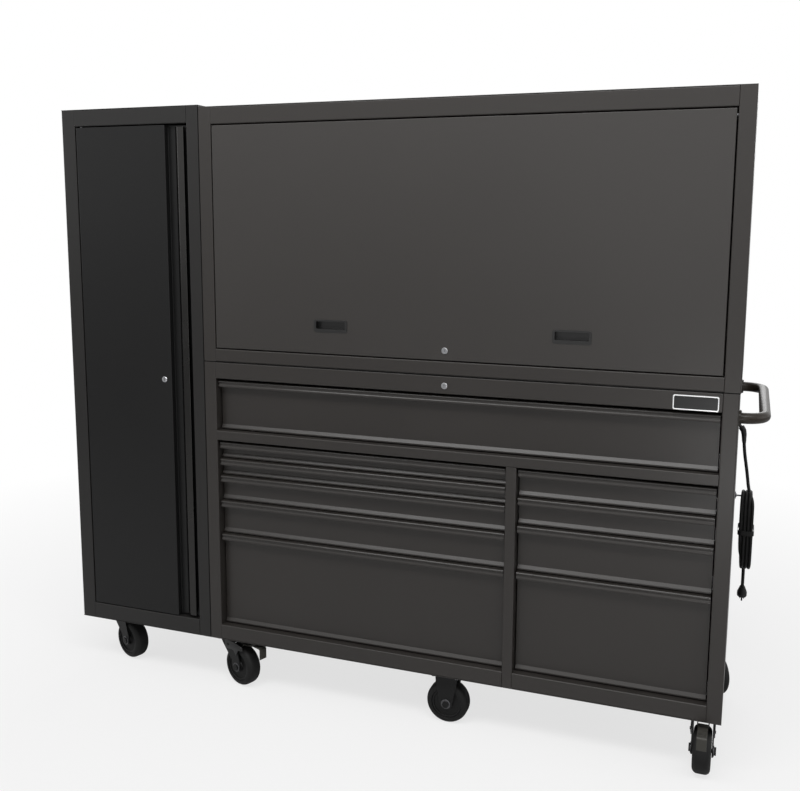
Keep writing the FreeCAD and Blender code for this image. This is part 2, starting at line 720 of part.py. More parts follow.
def eye(x, centre, r, hole):
    start = V(x - STRUT_W / 2, centre.y, centre.z)
    ring = rod(r, start, V(STRUT_W, 0, 0))
    return ring.cut(rod(hole, start, V(STRUT_W, 0, 0))) if hole else ring


def strut_cylinders():
    case, rest, up = strut_ends()
    way = (rest - case).normalize()
    length = (rest - case).Length - TUBE_SHORT
    solids = []
    for x in strut_planes():
        base = V(x, case.y, case.z)
        tube = rod(TUBE_R, base + way * 11, way * (length - 11))
        neck = rod(ROD_R, base + way * 6, way * 8)
        joint = eye(x, base, 8.0, 0).fuse(neck).fuse(tube)
        bore = rod(ROD_BORE, base + way * 20, way * length)
        hole = rod(ROD_R + BORE_GAP, base - V(10, 0, 0), V(20, 0, 0))
        solids.append(joint.cut(bore).cut(hole).removeSplitter())
    return together(solids)


def strut_rods():
    case, rest, up = strut_ends()
    way = (rest - case).normalize()
    solids = []
    for x in strut_planes():
        base = V(x, case.y, case.z)
        end = V(x, rest.y, rest.z)
        bar = rod(ROD_R, base + way * ROD_START, way * ((rest - case).Length - ROD_START))
        solids.append(bar.fuse(eye(x, end, 7.0, 0)).removeSplitter())
    return together(solids)


# ---- push handle ----------------------------------------------------------------------------
def push_handle():
    y0, y1 = HANDLE_Y
    out = CAB_W + HANDLE_OUT
    points = [V(CAB_W + FLANGE_T, y0, HANDLE_Z), V(out, y0, HANDLE_Z)]
    points += [V(out, y1, HANDLE_Z), V(CAB_W + FLANGE_T, y1, HANDLE_Z)]
    solids = [swept(points, [HANDLE_BEND, HANDLE_BEND], HANDLE_R)]
    for y in HANDLE_Y:
        solids.append(rod(FLANGE_R, V(CAB_W, y, HANDLE_Z), V(FLANGE_T, 0, 0)))
    return together(solids)


# ---- casters, drawn about their own swivel axis with the wheel towards +X ------------------------
def fork_sides(crown, trail):
    """Side view of a fork: wide at the crown, rounded about the axle."""
    z = AXLE_Z
    return [(-32, crown), (26, crown), (34, crown - 6), (trail + 18, z + 10),
            (trail + 16, z - 16, 14), (trail - 16, z - 16, 14), (trail - 22, z + 18),
            (-26, crown - 20), (-32, crown - 12)]


def fork_sheet(crown, trail, sides):
    """Pressed fork: a channel over the wheel trimmed to its side view."""
    foot = AXLE_Z - 20
    path = [(FORK_OUT, foot), (FORK_OUT, crown), (-FORK_OUT, crown), (-FORK_OUT, foot)]
    channel = folded("YZ", -60, 200, path, FORK_T, 1.0)
    trimmed = channel.common(profile("XZ", -60, sides, 120))
    axle = rod(AXLE_R, V(trail, -FORK_OUT - 1, AXLE_Z), V(0, 2 * FORK_OUT + 2, 0))
    return trimmed.cut(axle)


def hexagon(r, start, along):
    """Hexagonal head or nut across flats 2r."""
    reach = r / math.cos(math.pi / 6)
    points = []
    for i in range(7):
        a = math.pi / 3 * i
        points.append((reach * math.cos(a), reach * math.sin(a)))
    if abs(along.z) > 0:
        corners = [V(start.x + u, start.y + v, start.z) for u, v in points]
    else:
        corners = [V(start.x + u, start.y, start.z + v) for u, v in points]
    return Part.Face(Part.makePolygon(corners)).extrude(along)


def axle(trail):
    """Axle bolt with its head at one side and its nut at the other."""
    start = V(trail, -FORK_OUT, AXLE_Z)
    bolt = rod(AXLE_R, start, V(0, 2 * FORK_OUT, 0))
    head = hexagon(9.5, start, V(0, -6, 0))
    nut = hexagon(9.5, V(trail, FORK_OUT, AXLE_Z), V(0, 7, 0))
    return bolt.fuse(head).fuse(nut).removeSplitter()


def swivel_fork(braked):
    sheet = fork_sheet(CROWN_Z, TRAIL, fork_sides(CROWN_Z, TRAIL))
    sheet = sheet.cut(rod(KING_R + BORE_GAP, V(0, 0, CROWN_Z - 10), V(0, 0, 20)))
    solids = [sheet, axle(TRAIL)]
    if braked:
        x, z = PEDAL_PIVOT
        for side in (-1, 1):
            corners = [(x - 28, z - 6), (x + 4, z - 6, 5), (x + 4, z + 5, 5)]
            corners += [(x - 20, CROWN_Z - FORK_T), (x - 28, CROWN_Z - FORK_T)]
            at = side * (PEDAL_W / 2 + 0.4) + (0 if side > 0 else -2.5)
            ear = profile("XZ", at, corners, 2.5)
            solids.append(ear)
        solids.append(rod(3.0, V(x, -PEDAL_W / 2 - 2.9, z), V(0, PEDAL_W + 5.8, 0)))
        solids[2] = solids[2].cut(solids[4])
        solids[3] = solids[3].cut(solids[4])
    return together(solids)


def rigid_fork():
    crown = -PLATE_T
    z = AXLE_Z
    sides = [(-34, crown), (34, crown), (32, crown - 26), (16, z - 16, 14),
             (-16, z - 16, 14), (-32, crown - 26)]
    return [fork_sheet(crown, 0, sides), axle(0)]


def wheel(trail):
    """Moulded wheel turned as one: hub, dished web and round-shouldered tread."""
    w = WHEEL_W / 2
    half = [(AXLE_R + BORE_GAP, -w - 1), (15, -w - 1), (17, -w + 8), (43, -w + 8)]
    half += [(46, -w), (WHEEL_R - 5, -w), (WHEEL_R, -w + 8)]
    corners = half + [(c[0], -c[1]) + tuple(c[2:]) for c in half[::-1]]
    edges = [lay(e, "XY", 0) for e in rounded_corners(corners)]
    turned = Part.Face(Part.Wire(edges)).revolve(V(0, 0, 0), V(0, 1, 0), 360)
    return turned.translated(V(trail, 0, AXLE_Z))


def brake_pedal():
    """Pressed foot pedal on a barrel, reaching out over the wheel."""
    x, z = PEDAL_PIVOT
    half = PEDAL_W / 2
    path = [(PEDAL_REACH, -49), (PEDAL_REACH, -13), (PEDAL_REACH - 34, -12)]
    path += [(x + 14, z + 3), (x + 1, z + 2.5)]
    plate = folded("XZ", -half, PEDAL_W, path, 3.0, 3.0)
    barrel = rod(5.5, V(x, -half, z), V(0, PEDAL_W, 0))
    hole = rod(3.0 + BORE_GAP, V(x, -half - 1, z), V(0, PEDAL_W + 2, 0))
    return plate.fuse(barrel).cut(hole).removeSplitter()


def placed(shape, x, y, angle):
    copy = shape.copy()
    copy.rotate(V(0, 0, 0), V(0, 0, 1), angle)
    copy.translate(V(x, y, 0))
    return copy


def caster_plates():
    half = PLATE / 2
    cut = half - 6
    corners = [(-cut, -half), (cut, -half), (half, -cut), (half, cut)]
    corners += [(cut, half), (-cut, half), (-half, cut), (-half, -cut)]
    plate = profile("XY", -PLATE_T, corners, PLATE_T)
    race = rod(RACE_R, V(0, 0, -PLATE_T), V(0, 0, -RACE_H))
    pin = rod(KING_R, V(0, 0, -PLATE_T - RACE_H), V(0, 0, -FORK_T - 1))
    king = race.fuse(pin)
    solids = []
    for name, x, y, angle, braked in SWIVELS:
        solids += [placed(plate, x, y, 0), placed(king, x, y, 0)]
    for name, x, y in RIGIDS:
        solids.append(placed(plate, x, y, 0))
    return together(solids)


def caster_bolts():
    solids = []
    inset = PLATE / 2 - BOLT_IN
    spots = [(c[1], c[2]) for c in SWIVELS] + [(c[1], c[2]) for c in RIGIDS]
    for x, y in spots:
        for dx in (-inset, inset):
            for dy in (-inset, inset):
                start = V(x + dx, y + dy, -PLATE_T)
                solids.append(hexagon(BOLT_AF / 2, start, V(0, 0, -BOLT_H)))
    return together(solids)


# ---- power lead -------------------------------------------------------------------------------
def cord_points():
    """Corners of the lead from the power strip out to the hank."""
    return [V(STRIP_X[1], GLAND_Y, GLAND_Z), V(HANK_X - 6, GLAND_Y, GLAND_Z),
            V(HANK_X - 5, GLAND_Y - 8, 620), V(HANK_X, HANK_Y + 11, 555),
            V(HANK_X + 2, HANK_Y + 4, HANK_TOP)]


def tail_points():
    """Corners of the free end from the foot of the hank to the plug."""
    x = HANK_X
    y = HANK_Y + 16
    return [V(x, y, HANK_FOOT), V(x, y, HANK_FOOT - 40), V(x, y + 22, HANK_FOOT - 78)]


def turn_radii(points):
    radii = []
    for i in range(1, len(points) - 1):
        back = points[i - 1] - points[i]
        on = points[i + 1] - points[i]
        turn = math.pi - back.getAngle(on)
        radii.append(0.45 * min(back.Length, on.Length) / math.tan(turn / 2))
    return radii


def power_cord():
    solids = []
    for points in (cord_points(), tail_points()):
        radii = turn_radii(points)
        print("cord bend radii mm", [round(r, 1) for r in radii])
        solids.append(swept(points, radii, CORD_R))
    return together(solids)


def cord_hank():
    """The tied hank as one soft bundle: round-ended, with a waist under its tie."""
    half = HANK_W / 2
    waist = half - 9
    top = HANK_TOP
    foot = HANK_FOOT
    y = HANK_Y
    corners = [(y - half, foot, 30), (y + half, foot, 30), (y + half, foot + 95)]
    corners += [(y + waist, top - 80), (y + half - 3, top, 26), (y - half + 3, top, 26)]
    corners += [(y - waist, top - 80), (y - half, foot + 95)]
    return profile("YZ", HANK_X - HANK_T / 2, corners, HANK_T)


def cord_plug():
    """Moulded plug with two flat blades and a round earth pin."""
    points = tail_points()
    way = (points[-1] - points[-2]).normalize()
    grip = Part.makeCone(8, 15, 26, points[-1], way)
    nose = rod(15, points[-1] + way * 26, way * 12)
    body = grip.fuse(nose).removeSplitter()
    blades = []
    up = way.cross(V(1, 0, 0))
    tip = points[-1] + way * 38
    for side in (-6.3, 6.3):
        blade = Part.makeBox(1.5, 6.4, 18, V(side - 0.75, -3.2, 0))
        blade.Placement = FreeCAD.Placement(tip, FreeCAD.Rotation(V(1, 0, 0), up * -1, way))
        blades.append(blade)
    blades.append(rod(2.4, tip + up * 8, way * 20))
    return together([body] + blades)


def cord_gland():
    """Hexagonal body and domed nut around the lead where it leaves the side."""
    start = V(CAB_W, GLAND_Y, GLAND_Z)
    body = rod(GLAND_R, start, V(GLAND_OUT, 0, 0))
    body = body.makeChamfer(3.0, [body.Edges[0]])
    hole = rod(CORD_R, start - V(5, 0, 0), V(GLAND_OUT + 20, 0, 0))
    return body.cut(hole)


def power_strip():
    """Outlet strip on the back wall behind the wide drawer, turned to the front."""
    x0, x1 = STRIP_X
    body = box(x0, x1, STRIP_Y[0], STRIP_Y[1], STRIP_Z[0], STRIP_Z[1])
    front = [e for e in body.Edges if max(v.Y for v in e.Vertexes) < STRIP_Y[0] + 1e-3]
    return body.makeFillet(4.0, front)


# ---- the whole ----------------------------------------------------------------------------------
def caster_nodes():
    nodes = {"caster_plates": caster_plates(), "caster_bolts": caster_bolts()}
    for name, x, y, angle, braked in SWIVELS:
        nodes["fork_" + name] = placed(swivel_fork(braked), x, y, angle)
        nodes["wheel_" + name] = placed(wheel(TRAIL), x, y, angle)
        if braked:
            nodes["pedal_" + name] = placed(brake_pedal(), x, y, angle)
    rigid = []
    for name, x, y in RIGIDS:
        nodes["wheel_" + name] = placed(wheel(0), x, y, 0)
        rigid += [placed(s, x, y, 0) for s in rigid_fork()]
    nodes["rigid_forks"] = together(rigid)
    return nodes


def drawer_nodes():
    nodes = {}
    fixed = []
    for name, x0, x1, top, foot in DRAWERS:
        nodes["drawer_" + name] = drawer(x0, x1, top, foot)
        nodes["slides_" + name] = together(slide_member("middle", x0, x1, foot))
        fixed += slide_member("outer", x0, x1, foot)
    nodes["slide_rails"] = together(fixed)
    return nodes


def all_nodes():
    nodes = {"cabinet_case": cabinet_case(), "hutch_case": hutch_case()}
    nodes.update({"locker_case": locker_case(), "locker_shelves": locker_shelves()})
    nodes.update(drawer_nodes())
    nodes["hutch_door"] = hutch_door()
    nodes["door_pulls"] = door_pulls()
    nodes["locker_door"] = locker_door()
    nodes["locker_door_pull"] = locker_door_pull()
    nodes["hinge_pins"] = hinge_pins()
    nodes["cabinet_lock"] = lock(CAB_LOCK, CAB_CAM, 0, CAB_CAM_Y)
    nodes["hutch_lock"] = lock(HUTCH_LOCK, HUTCH_CAM, 90, HUTCH_CAM_Y)
    nodes["locker_lock"] = lock(LOCKER_LOCK, LOCKER_CAM, 0, LOCKER_CAM_Y)
    nodes["strut_cylinders"] = strut_cylinders()
    nodes["strut_rods"] = strut_rods()
    nodes["push_handle"] = push_handle()
    nodes.update(caster_nodes())
    nodes["power_strip"] = power_strip()
    nodes["cord_gland"] = cord_gland()
    nodes["power_cord"] = power_cord()
    nodes["cord_hank"] = cord_hank()
    nodes["cord_plug"] = cord_plug()
    return nodes


def main():
    os.makedirs("parts", exist_ok=True)
    for name, shape in all_nodes().items():
        moved = shape.translated(V(0, 0, 0) - ORIGIN)
        moved.exportStep("parts/%s.step" % name)


main()
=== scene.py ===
import json
import math
import bmesh
import bpy
from mathutils import Matrix, Vector


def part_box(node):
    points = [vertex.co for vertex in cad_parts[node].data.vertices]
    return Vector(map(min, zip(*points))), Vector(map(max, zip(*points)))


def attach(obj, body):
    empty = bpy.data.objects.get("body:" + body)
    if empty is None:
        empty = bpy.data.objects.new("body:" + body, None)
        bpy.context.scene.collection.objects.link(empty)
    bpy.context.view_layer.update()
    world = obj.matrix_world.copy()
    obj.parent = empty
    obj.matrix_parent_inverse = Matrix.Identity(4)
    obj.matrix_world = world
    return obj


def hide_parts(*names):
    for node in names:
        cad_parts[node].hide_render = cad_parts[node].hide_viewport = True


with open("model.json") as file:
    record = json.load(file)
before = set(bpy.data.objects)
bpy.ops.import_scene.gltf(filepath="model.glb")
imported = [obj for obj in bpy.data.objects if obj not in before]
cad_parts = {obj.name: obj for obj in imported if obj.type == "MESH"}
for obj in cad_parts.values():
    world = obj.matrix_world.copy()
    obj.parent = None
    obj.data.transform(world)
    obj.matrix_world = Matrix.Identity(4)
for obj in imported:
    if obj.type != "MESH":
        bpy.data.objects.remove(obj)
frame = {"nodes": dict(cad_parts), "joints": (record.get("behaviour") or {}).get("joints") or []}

bl_info = {
    "name": "Rolling tool storage",
    "version": (1, 0, 0),
    "blender": (4, 5, 0),
    "location": "View3D > Sidebar > Tool storage",
    "description": "Finishes and small pieces for a rolling cabinet, hutch and locker",
    "category": "Object",
}

MM = 0.001
LOW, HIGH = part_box("cabinet_case")
LEFT = LOW.x
FRONT = LOW.y
UNDER = LOW.z
RIGHT = HIGH.x
BACK = HIGH.y
COLUMNS = {"top": ["top"], "left": ["left_%d" % n for n in range(1, 6)],
           "right": ["right_%d" % n for n in range(1, 5)]}
SWIVELS = ("locker_front", "locker_rear", "left_front", "left_rear", "right_front",
           "right_rear")
RIGIDS = ("centre_front", "centre_rear")
SLIDE_WIDTH = 12.7 * MM
SIDE_GAP = 3.5 * MM
PULL_BACK = 23.6 * MM
ROUND = 48
SHELF_STEPS = (390 * MM, 780 * MM)
MEMBERS_FROM = 47.4 * MM    # slide members start this far behind the front
MAT_FROM = 49 * MM
SCREW_IN = 18 * MM          # back screws from the edge of their panel
SCREW_PITCH = 0.24
SEAM_DEEP = 0.6 * MM
SEAM_WIDE = 1.9 * MM
FILL_LEVEL = 0.27           # world light on matt surfaces; 1 where it is seen


def at(x, y, z):
    """Point measured from the cabinet's left front lower corner, in millimetres."""
    return Vector((LEFT + x * MM, FRONT + y * MM, UNDER + z * MM))


def joint(name):
    return next(j for j in frame["joints"] if j["name"] == name)


# ---- settings ------------
def tint(name, description, value):
    return bpy.props.FloatVectorProperty(name=name, description=description,
                                         subtype="COLOR", size=3, min=0, max=1,
                                         default=value)


def measure(name, description, value):
    return bpy.props.FloatProperty(name=name, description=description, default=value,
                                   unit="LENGTH")


class ToolStorageFinish(bpy.types.PropertyGroup):
    coat: tint("Powder coat", "Colour of the painted sheet", (0.0225, 0.0197, 0.0178))
    coat_roughness: bpy.props.FloatProperty(
        name="Coat roughness", description="How satin the powder coat is",
        default=0.38, min=0, max=1, subtype="FACTOR")
    # Darker copy of the powder coat for the locker door: painted shade.
    locker_door_shaded_coat: tint("Locker door shaded coat", "Colour of the locker door's paint",
                      (0.0065, 0.0065, 0.0066))
    zinc: tint("Zinc plate", "Colour of the slides", (0.40, 0.40, 0.41))
    chrome: tint("Chrome", "Colour of the lock faces and strut rods",
                 (0.72, 0.73, 0.75))
    rubber: tint("Rubber", "Colour of the treads", (0.007, 0.007, 0.007))
    floor: tint("Floor", "Colour of floor and backdrop", (0.82, 0.82, 0.82))


class ToolStorageSizes(bpy.types.PropertyGroup):
    cord: measure("Lead diameter", "Outside diameter of the power lead", 10 * MM)
    badge_width: measure("Badge width", "Width of the bare badge plate", 114 * MM)
    badge_height: measure("Badge height", "Height of the bare badge plate", 39 * MM)
    mat: measure("Drawer mat", "Thickness of the ribbed drawer mats", 2.4 * MM)
    tread: measure("Tread thickness", "Rubber outside the rim of each wheel", 17 * MM)


def finish_of():
    return bpy.context.scene.tool_storage_finish


def sizes():
    return bpy.context.scene.tool_storage_sizes


# ---- node groups ------------
def group(name, inputs, outputs):
    tree = bpy.data.node_groups.new(name, "ShaderNodeTree")
    for label, kind, value in inputs:
        made = tree.interface.new_socket(name=label, in_out="INPUT", socket_type=kind)
        if value is not None:
            made.default_value = value
    for label, kind in outputs:
        tree.interface.new_socket(name=label, in_out="OUTPUT", socket_type=kind)
    return tree


FLOAT = "NodeSocketFloat"
COLOUR = "NodeSocketColor"
VECTOR = "NodeSocketVector"


class Board:
    """A node tree with short ways to add and join its nodes."""

    def __init__(self, tree):
        self.tree = tree

    def add(self, kind, settings=None, **values):
        node = self.tree.nodes.new(kind)
        for key, value in (settings or {}).items():
            setattr(node, key, value)
        for key, value in values.items():
            self.feed(node.inputs[key.replace("_", " ")], value)
        return node

    def feed(self, socket, value):
        if isinstance(value, bpy.types.NodeSocket):
            self.tree.links.new(value, socket)
        elif hasattr(value, "__len__") and len(value) == 3 and socket.type == "RGBA":
            socket.default_value = tuple(value) + (1.0,)
        else:
            socket.default_value = value

    def sum(self, operation, a, b=None, c=None, clamp=False):
        node = self.tree.nodes.new("ShaderNodeMath")
        node.operation = operation
        node.use_clamp = clamp
        for socket, value in zip(node.inputs, (a, b, c)):
            if value is not None:
                self.feed(socket, value)
        return node.outputs[0]

    def span(self, value, low, high, to_low=0.0, to_high=1.0):
        node = self.tree.nodes.new("ShaderNodeMapRange")
        for socket, given in zip(node.inputs, (value, low, high, to_low, to_high)):
            self.feed(socket, given)
        return node.outputs[0]

    def blend(self, amount, a, b):
        node = self.tree.nodes.new("ShaderNodeMix")
        node.data_type = "RGBA"
        self.feed(node.inputs[0], amount)
        self.feed(node.inputs[6], a)
        self.feed(node.inputs[7], b)
        return node.outputs[2]


def start(tree):
    board = Board(tree)
    return board, board.add("NodeGroupInput")


def object_place(board):
    return board.add("ShaderNodeTexCoord").outputs["Object"]


def noise(board, where, scale, detail=2.0, rough=0.5):
    node = board.add("ShaderNodeTexNoise", Vector=where, Scale=scale, Detail=detail,
                     Roughness=rough)
    return node.outputs[0]


def make_drift():
    """Slow change of colour and gloss over a large surface."""
    tree = group("Surface drift", [("Color", COLOUR, None), ("Roughness", FLOAT, 0.4),
                                   ("Amount", FLOAT, 0.1), ("Scale", FLOAT, 4.0)],
                 [("Color", COLOUR), ("Roughness", FLOAT)])
    b, given = start(tree)
    place = object_place(b)
    broad = noise(b, place, given.outputs["Scale"], 3.0)
    fine = noise(b, place, b.sum("MULTIPLY", given.outputs["Scale"], 23.0), 2.0)
    mixed = b.sum("MULTIPLY_ADD", fine, 0.35, b.sum("MULTIPLY", broad, 0.65))
    swing = b.sum("MULTIPLY", b.sum("SUBTRACT", mixed, 0.5), given.outputs["Amount"])
    shade = b.add("ShaderNodeHueSaturation", Color=given.outputs["Color"],
                  Value=b.sum("MULTIPLY_ADD", swing, 2.0, 1.0))
    rough = b.sum("ADD", given.outputs["Roughness"], swing, clamp=True)
    out = b.add("NodeGroupOutput")
    b.feed(out.inputs["Color"], shade.outputs[0])
    b.feed(out.inputs["Roughness"], rough)
    return tree


def make_grain():
    """Height of fine orange peel, moulded texture or casting grain."""
    tree = group("Fine grain", [("Scale", FLOAT, 900.0), ("Softness", FLOAT, 0.5)],
                 [("Height", FLOAT)])
    b, given = start(tree)
    place = object_place(b)
    near = noise(b, place, given.outputs["Scale"], 2.0, given.outputs["Softness"])
    wide = noise(b, place, b.sum("MULTIPLY", given.outputs["Scale"], 0.22), 1.0)
    out = b.add("NodeGroupOutput")
    b.feed(out.inputs[0], b.sum("MULTIPLY_ADD", wide, 0.6, b.sum("MULTIPLY", near, 0.4)))
    return tree


def make_edges():
    """Mask of outside edges and a normal that rounds them slightly."""
    tree = group("Edge wear and highlight", [("Width", FLOAT, 0.8 * MM), ("Amount", FLOAT, 0.5)],
                 [("Mask", FLOAT), ("Normal", VECTOR)])
    b, given = start(tree)
    soft = b.add("ShaderNodeBevel", {"samples": 4}, Radius=given.outputs["Width"])
    true = b.add("ShaderNodeNewGeometry").outputs["True Normal"]
    meet = b.add("ShaderNodeVectorMath", {"operation": "DOT_PRODUCT"})
    b.feed(meet.inputs[0], soft.outputs[0])
    b.feed(meet.inputs[1], true)
    edge = b.span(meet.outputs["Value"], 0.985, 0.80)
    place = object_place(b)
    broken = b.span(noise(b, place, 140.0, 3.0), 0.35, 0.65)
    worn = b.sum("MULTIPLY", b.sum("MULTIPLY", edge, broken), given.outputs["Amount"],
                 clamp=True)
    out = b.add("NodeGroupOutput")
    b.feed(out.inputs["Mask"], worn)
    b.feed(out.inputs["Normal"], soft.outputs[0])
    return tree


def make_dust():
    """Mask of thin dust that settles on faces turned upwards."""
    tree = group("Settled dust", [("Amount", FLOAT, 0.2)], [("Mask", FLOAT)])
    b, given = start(tree)
    normal = b.add("ShaderNodeNewGeometry").outputs["Normal"]
    up = b.add("ShaderNodeSeparateXYZ", Vector=normal).outputs["Z"]
    place = object_place(b)
    patch = b.span(noise(b, place, 11.0, 4.0), 0.3, 0.75)
    mask = b.sum("MULTIPLY", b.span(up, 0.6, 1.0), patch)
    out = b.add("NodeGroupOutput")
    b.feed(out.inputs[0], b.sum("MULTIPLY", mask, given.outputs["Amount"], clamp=True))
    return tree


def make_lines():
    """Height of drawn or brushed lines along one direction."""
    tree = group("Drawn lines", [("Stretch", VECTOR, (40.0, 2000.0, 2000.0))],
                 [("Height", FLOAT)])
    b, given = start(tree)
    place = object_place(b)
    scaled = b.add("ShaderNodeVectorMath", {"operation": "MULTIPLY"})
    b.feed(scaled.inputs[0], place)
    b.feed(scaled.inputs[1], given.outputs["Stretch"])
    out = b.add("NodeGroupOutput")
    b.feed(out.inputs[0], noise(b, scaled.outputs[0], 1.0, 3.0, 0.6))
    return tree


def make_spangle():
    """Pale and dark flakes of zinc plate."""
    tree = group("Zinc spangle", [("Color", COLOUR, None), ("Scale", FLOAT, 220.0)],
                 [("Color", COLOUR)])
    b, given = start(tree)
    place = object_place(b)
    flakes = b.add("ShaderNodeTexVoronoi", Vector=place, Scale=given.outputs["Scale"])
    level = b.add("ShaderNodeRGBToBW", Color=flakes.outputs["Color"]).outputs[0]
    value = b.span(level, 0.0, 1.0, 0.86, 1.12)
    shade = b.add("ShaderNodeHueSaturation", Color=given.outputs["Color"], Value=value)
    out = b.add("NodeGroupOutput")
    b.feed(out.inputs[0], shade.outputs[0])
    return tree


def make_strips():
    """Mask of the slide members at both sides of a drawer, behind its face."""
    tree = group("Side members", [("Centre", FLOAT, 0.0), ("Half", FLOAT, 0.4),
                                  ("Behind", FLOAT, 0.0)], [("Mask", FLOAT)])
    b, given = start(tree)
    place = object_place(b)
    parts = b.add("ShaderNodeSeparateXYZ", Vector=place)
    off = b.sum("SUBTRACT", parts.outputs["X"], given.outputs["Centre"])
    outside = b.sum("GREATER_THAN", b.sum("ABSOLUTE", off), given.outputs["Half"])
    behind = b.sum("GREATER_THAN", parts.outputs["Y"], given.outputs["Behind"])
    out = b.add("NodeGroupOutput")
    b.feed(out.inputs[0], b.sum("MULTIPLY", outside, behind))
    return tree


def make_zone():
    """Mask of what lies inside a box, fading towards its high corner."""
    tree = group("Box zone", [("Low", VECTOR, None), ("High", VECTOR, None),
                              ("Fade", FLOAT, 1.0 * MM)], [("Mask", FLOAT)])
    b, given = start(tree)
    place = object_place(b)
    masks = []
    for first, second, keep in ((place, given.outputs["Low"], 0.0),
                                (given.outputs["High"], place, given.outputs["Fade"])):
        gap = b.add("ShaderNodeVectorMath", {"operation": "SUBTRACT"})
        b.feed(gap.inputs[0], first)
        b.feed(gap.inputs[1], second)
        parts = b.add("ShaderNodeSeparateXYZ", Vector=gap.outputs[0])
        least = b.sum("MINIMUM", parts.outputs["X"], parts.outputs["Y"])
        least = b.sum("MINIMUM", least, parts.outputs["Z"])
        if keep == 0.0:
            masks.append(b.sum("GREATER_THAN", least, 0.0))
        else:
            masks.append(b.sum("DIVIDE", least, keep, clamp=True))
    out = b.add("NodeGroupOutput")
    b.feed(out.inputs[0], b.sum("MULTIPLY", masks[0], masks[1]))
    return tree


GROUPS = {}


def place_group(board, name, **values):
    node = board.tree.nodes.new("ShaderNodeGroup")
    node.node_tree = GROUPS[name]
    for key, value in values.items():
        board.feed(node.inputs[key], value)
    return node


def make_groups():
    for key, maker in (("drift", make_drift), ("grain", make_grain),
                       ("edges", make_edges), ("dust", make_dust),
                       ("lines", make_lines), ("spangle", make_spangle),
                       ("strips", make_strips), ("zone", make_zone)):
        GROUPS[key] = maker()


# ---- finishes ------------
MATERIALS = {}


def new_material(name):
    material = bpy.data.materials.new(name)
    material.use_nodes = True
    board = Board(material.node_tree)
    shader = material.node_tree.nodes["Principled BSDF"]
    MATERIALS[name] = material
    return material, board, shader


def wire(b, shader, colour, rough, bump):
    b.feed(shader.inputs["Base Color"], colour)
    b.feed(shader.inputs["Roughness"], rough)
    b.feed(shader.inputs["Normal"], bump.outputs[0])


def painted(name, colour, rough, grain=520.0, depth=0.10, wear=0.3, dust=0.06,
            members=None, shine=0.42):
    """Powder coat: orange peel, slow drift, soft edges, a little dust."""
    material, b, shader = new_material(name)
    shader.inputs["Specular IOR Level"].default_value = shine
    base = place_group(b, "drift", Color=colour, Roughness=rough, Amount=0.10, Scale=3.0)
    edge = place_group(b, "edges", Width=0.9 * MM, Amount=wear)
    fall = place_group(b, "dust", Amount=dust)
    # Lighter outside edges: wear, and on the brake brackets, whose amount is 0.9, a painted
    # highlight.
    edge_tone = b.blend(edge.outputs["Mask"], base.outputs["Color"], (0.075, 0.075, 0.08))
    tone = b.blend(fall.outputs[0], edge_tone, (0.20, 0.19, 0.18))
    skin = b.sum("MULTIPLY_ADD", fall.outputs[0], 0.35, base.outputs["Roughness"],
                 clamp=True)
    peel = place_group(b, "grain", Scale=grain)
    bump = b.add("ShaderNodeBump", Strength=depth, Distance=0.2 * MM,
                 Height=peel.outputs[0], Normal=edge.outputs["Normal"])
    if members is not None:
        tone, skin, metal = slide_members(b, tone, skin, *members)
        b.feed(shader.inputs["Metallic"], metal)
    wire(b, shader, tone, skin, bump)
    return material


def slide_members(b, tone, skin, centre, half, behind, pull_front):
    """Zinc where the slide members are, and the smoother skin of the rolled pull."""
    side = place_group(b, "strips", Centre=centre, Half=half, Behind=behind).outputs[0]
    pull = place_group(b, "zone", Low=(-9, -9, -9), High=(9, pull_front, 9),
                       Fade=0.05 * MM).outputs[0]
    tone = b.blend(side, tone, tuple(finish_of().zinc))
    skin = b.span(side, 0.0, 1.0, skin, 0.32)
    return tone, b.span(pull, 0.0, 1.0, skin, 0.18), side


def plated(name, colour, rough, stretch=(60.0, 1600.0, 1600.0), spangle=220.0,
           depth=0.08, wear=0.4):
    """Zinc plate over drawn steel: flakes, drawing lines, brighter edges."""
    material, b, shader = new_material(name)
    flake = place_group(b, "spangle", Color=colour, Scale=spangle)
    base = place_group(b, "drift", Color=flake.outputs[0], Roughness=rough, Amount=0.14,
                       Scale=9.0)
    edge = place_group(b, "edges", Width=0.6 * MM, Amount=wear)
    lines = place_group(b, "lines", Stretch=stretch)
    bright = b.blend(edge.outputs["Mask"], base.outputs["Color"], (0.72, 0.72, 0.72))
    bump = b.add("ShaderNodeBump", Strength=depth, Distance=0.15 * MM,
                 Height=lines.outputs[0], Normal=edge.outputs["Normal"])
    wire(b, shader, bright, base.outputs["Roughness"], bump)
    shader.inputs["Metallic"].default_value = 1.0
    return material


def polished(name, colour, rough):
    """Bright chrome with faint haze and polishing lines."""
    material, b, shader = new_material(name)
    base = place_group(b, "drift", Color=colour, Roughness=rough, Amount=0.06, Scale=30.0)
    edge = place_group(b, "edges", Width=0.4 * MM, Amount=0.0)
    lines = place_group(b, "lines", Stretch=(900.0, 900.0, 60.0))
    bump = b.add("ShaderNodeBump", Strength=0.03, Distance=0.05 * MM,
                 Height=lines.outputs[0], Normal=edge.outputs["Normal"])
    wire(b, shader, base.outputs["Color"], base.outputs["Roughness"], bump)
    shader.inputs["Metallic"].default_value = 1.0
    return material


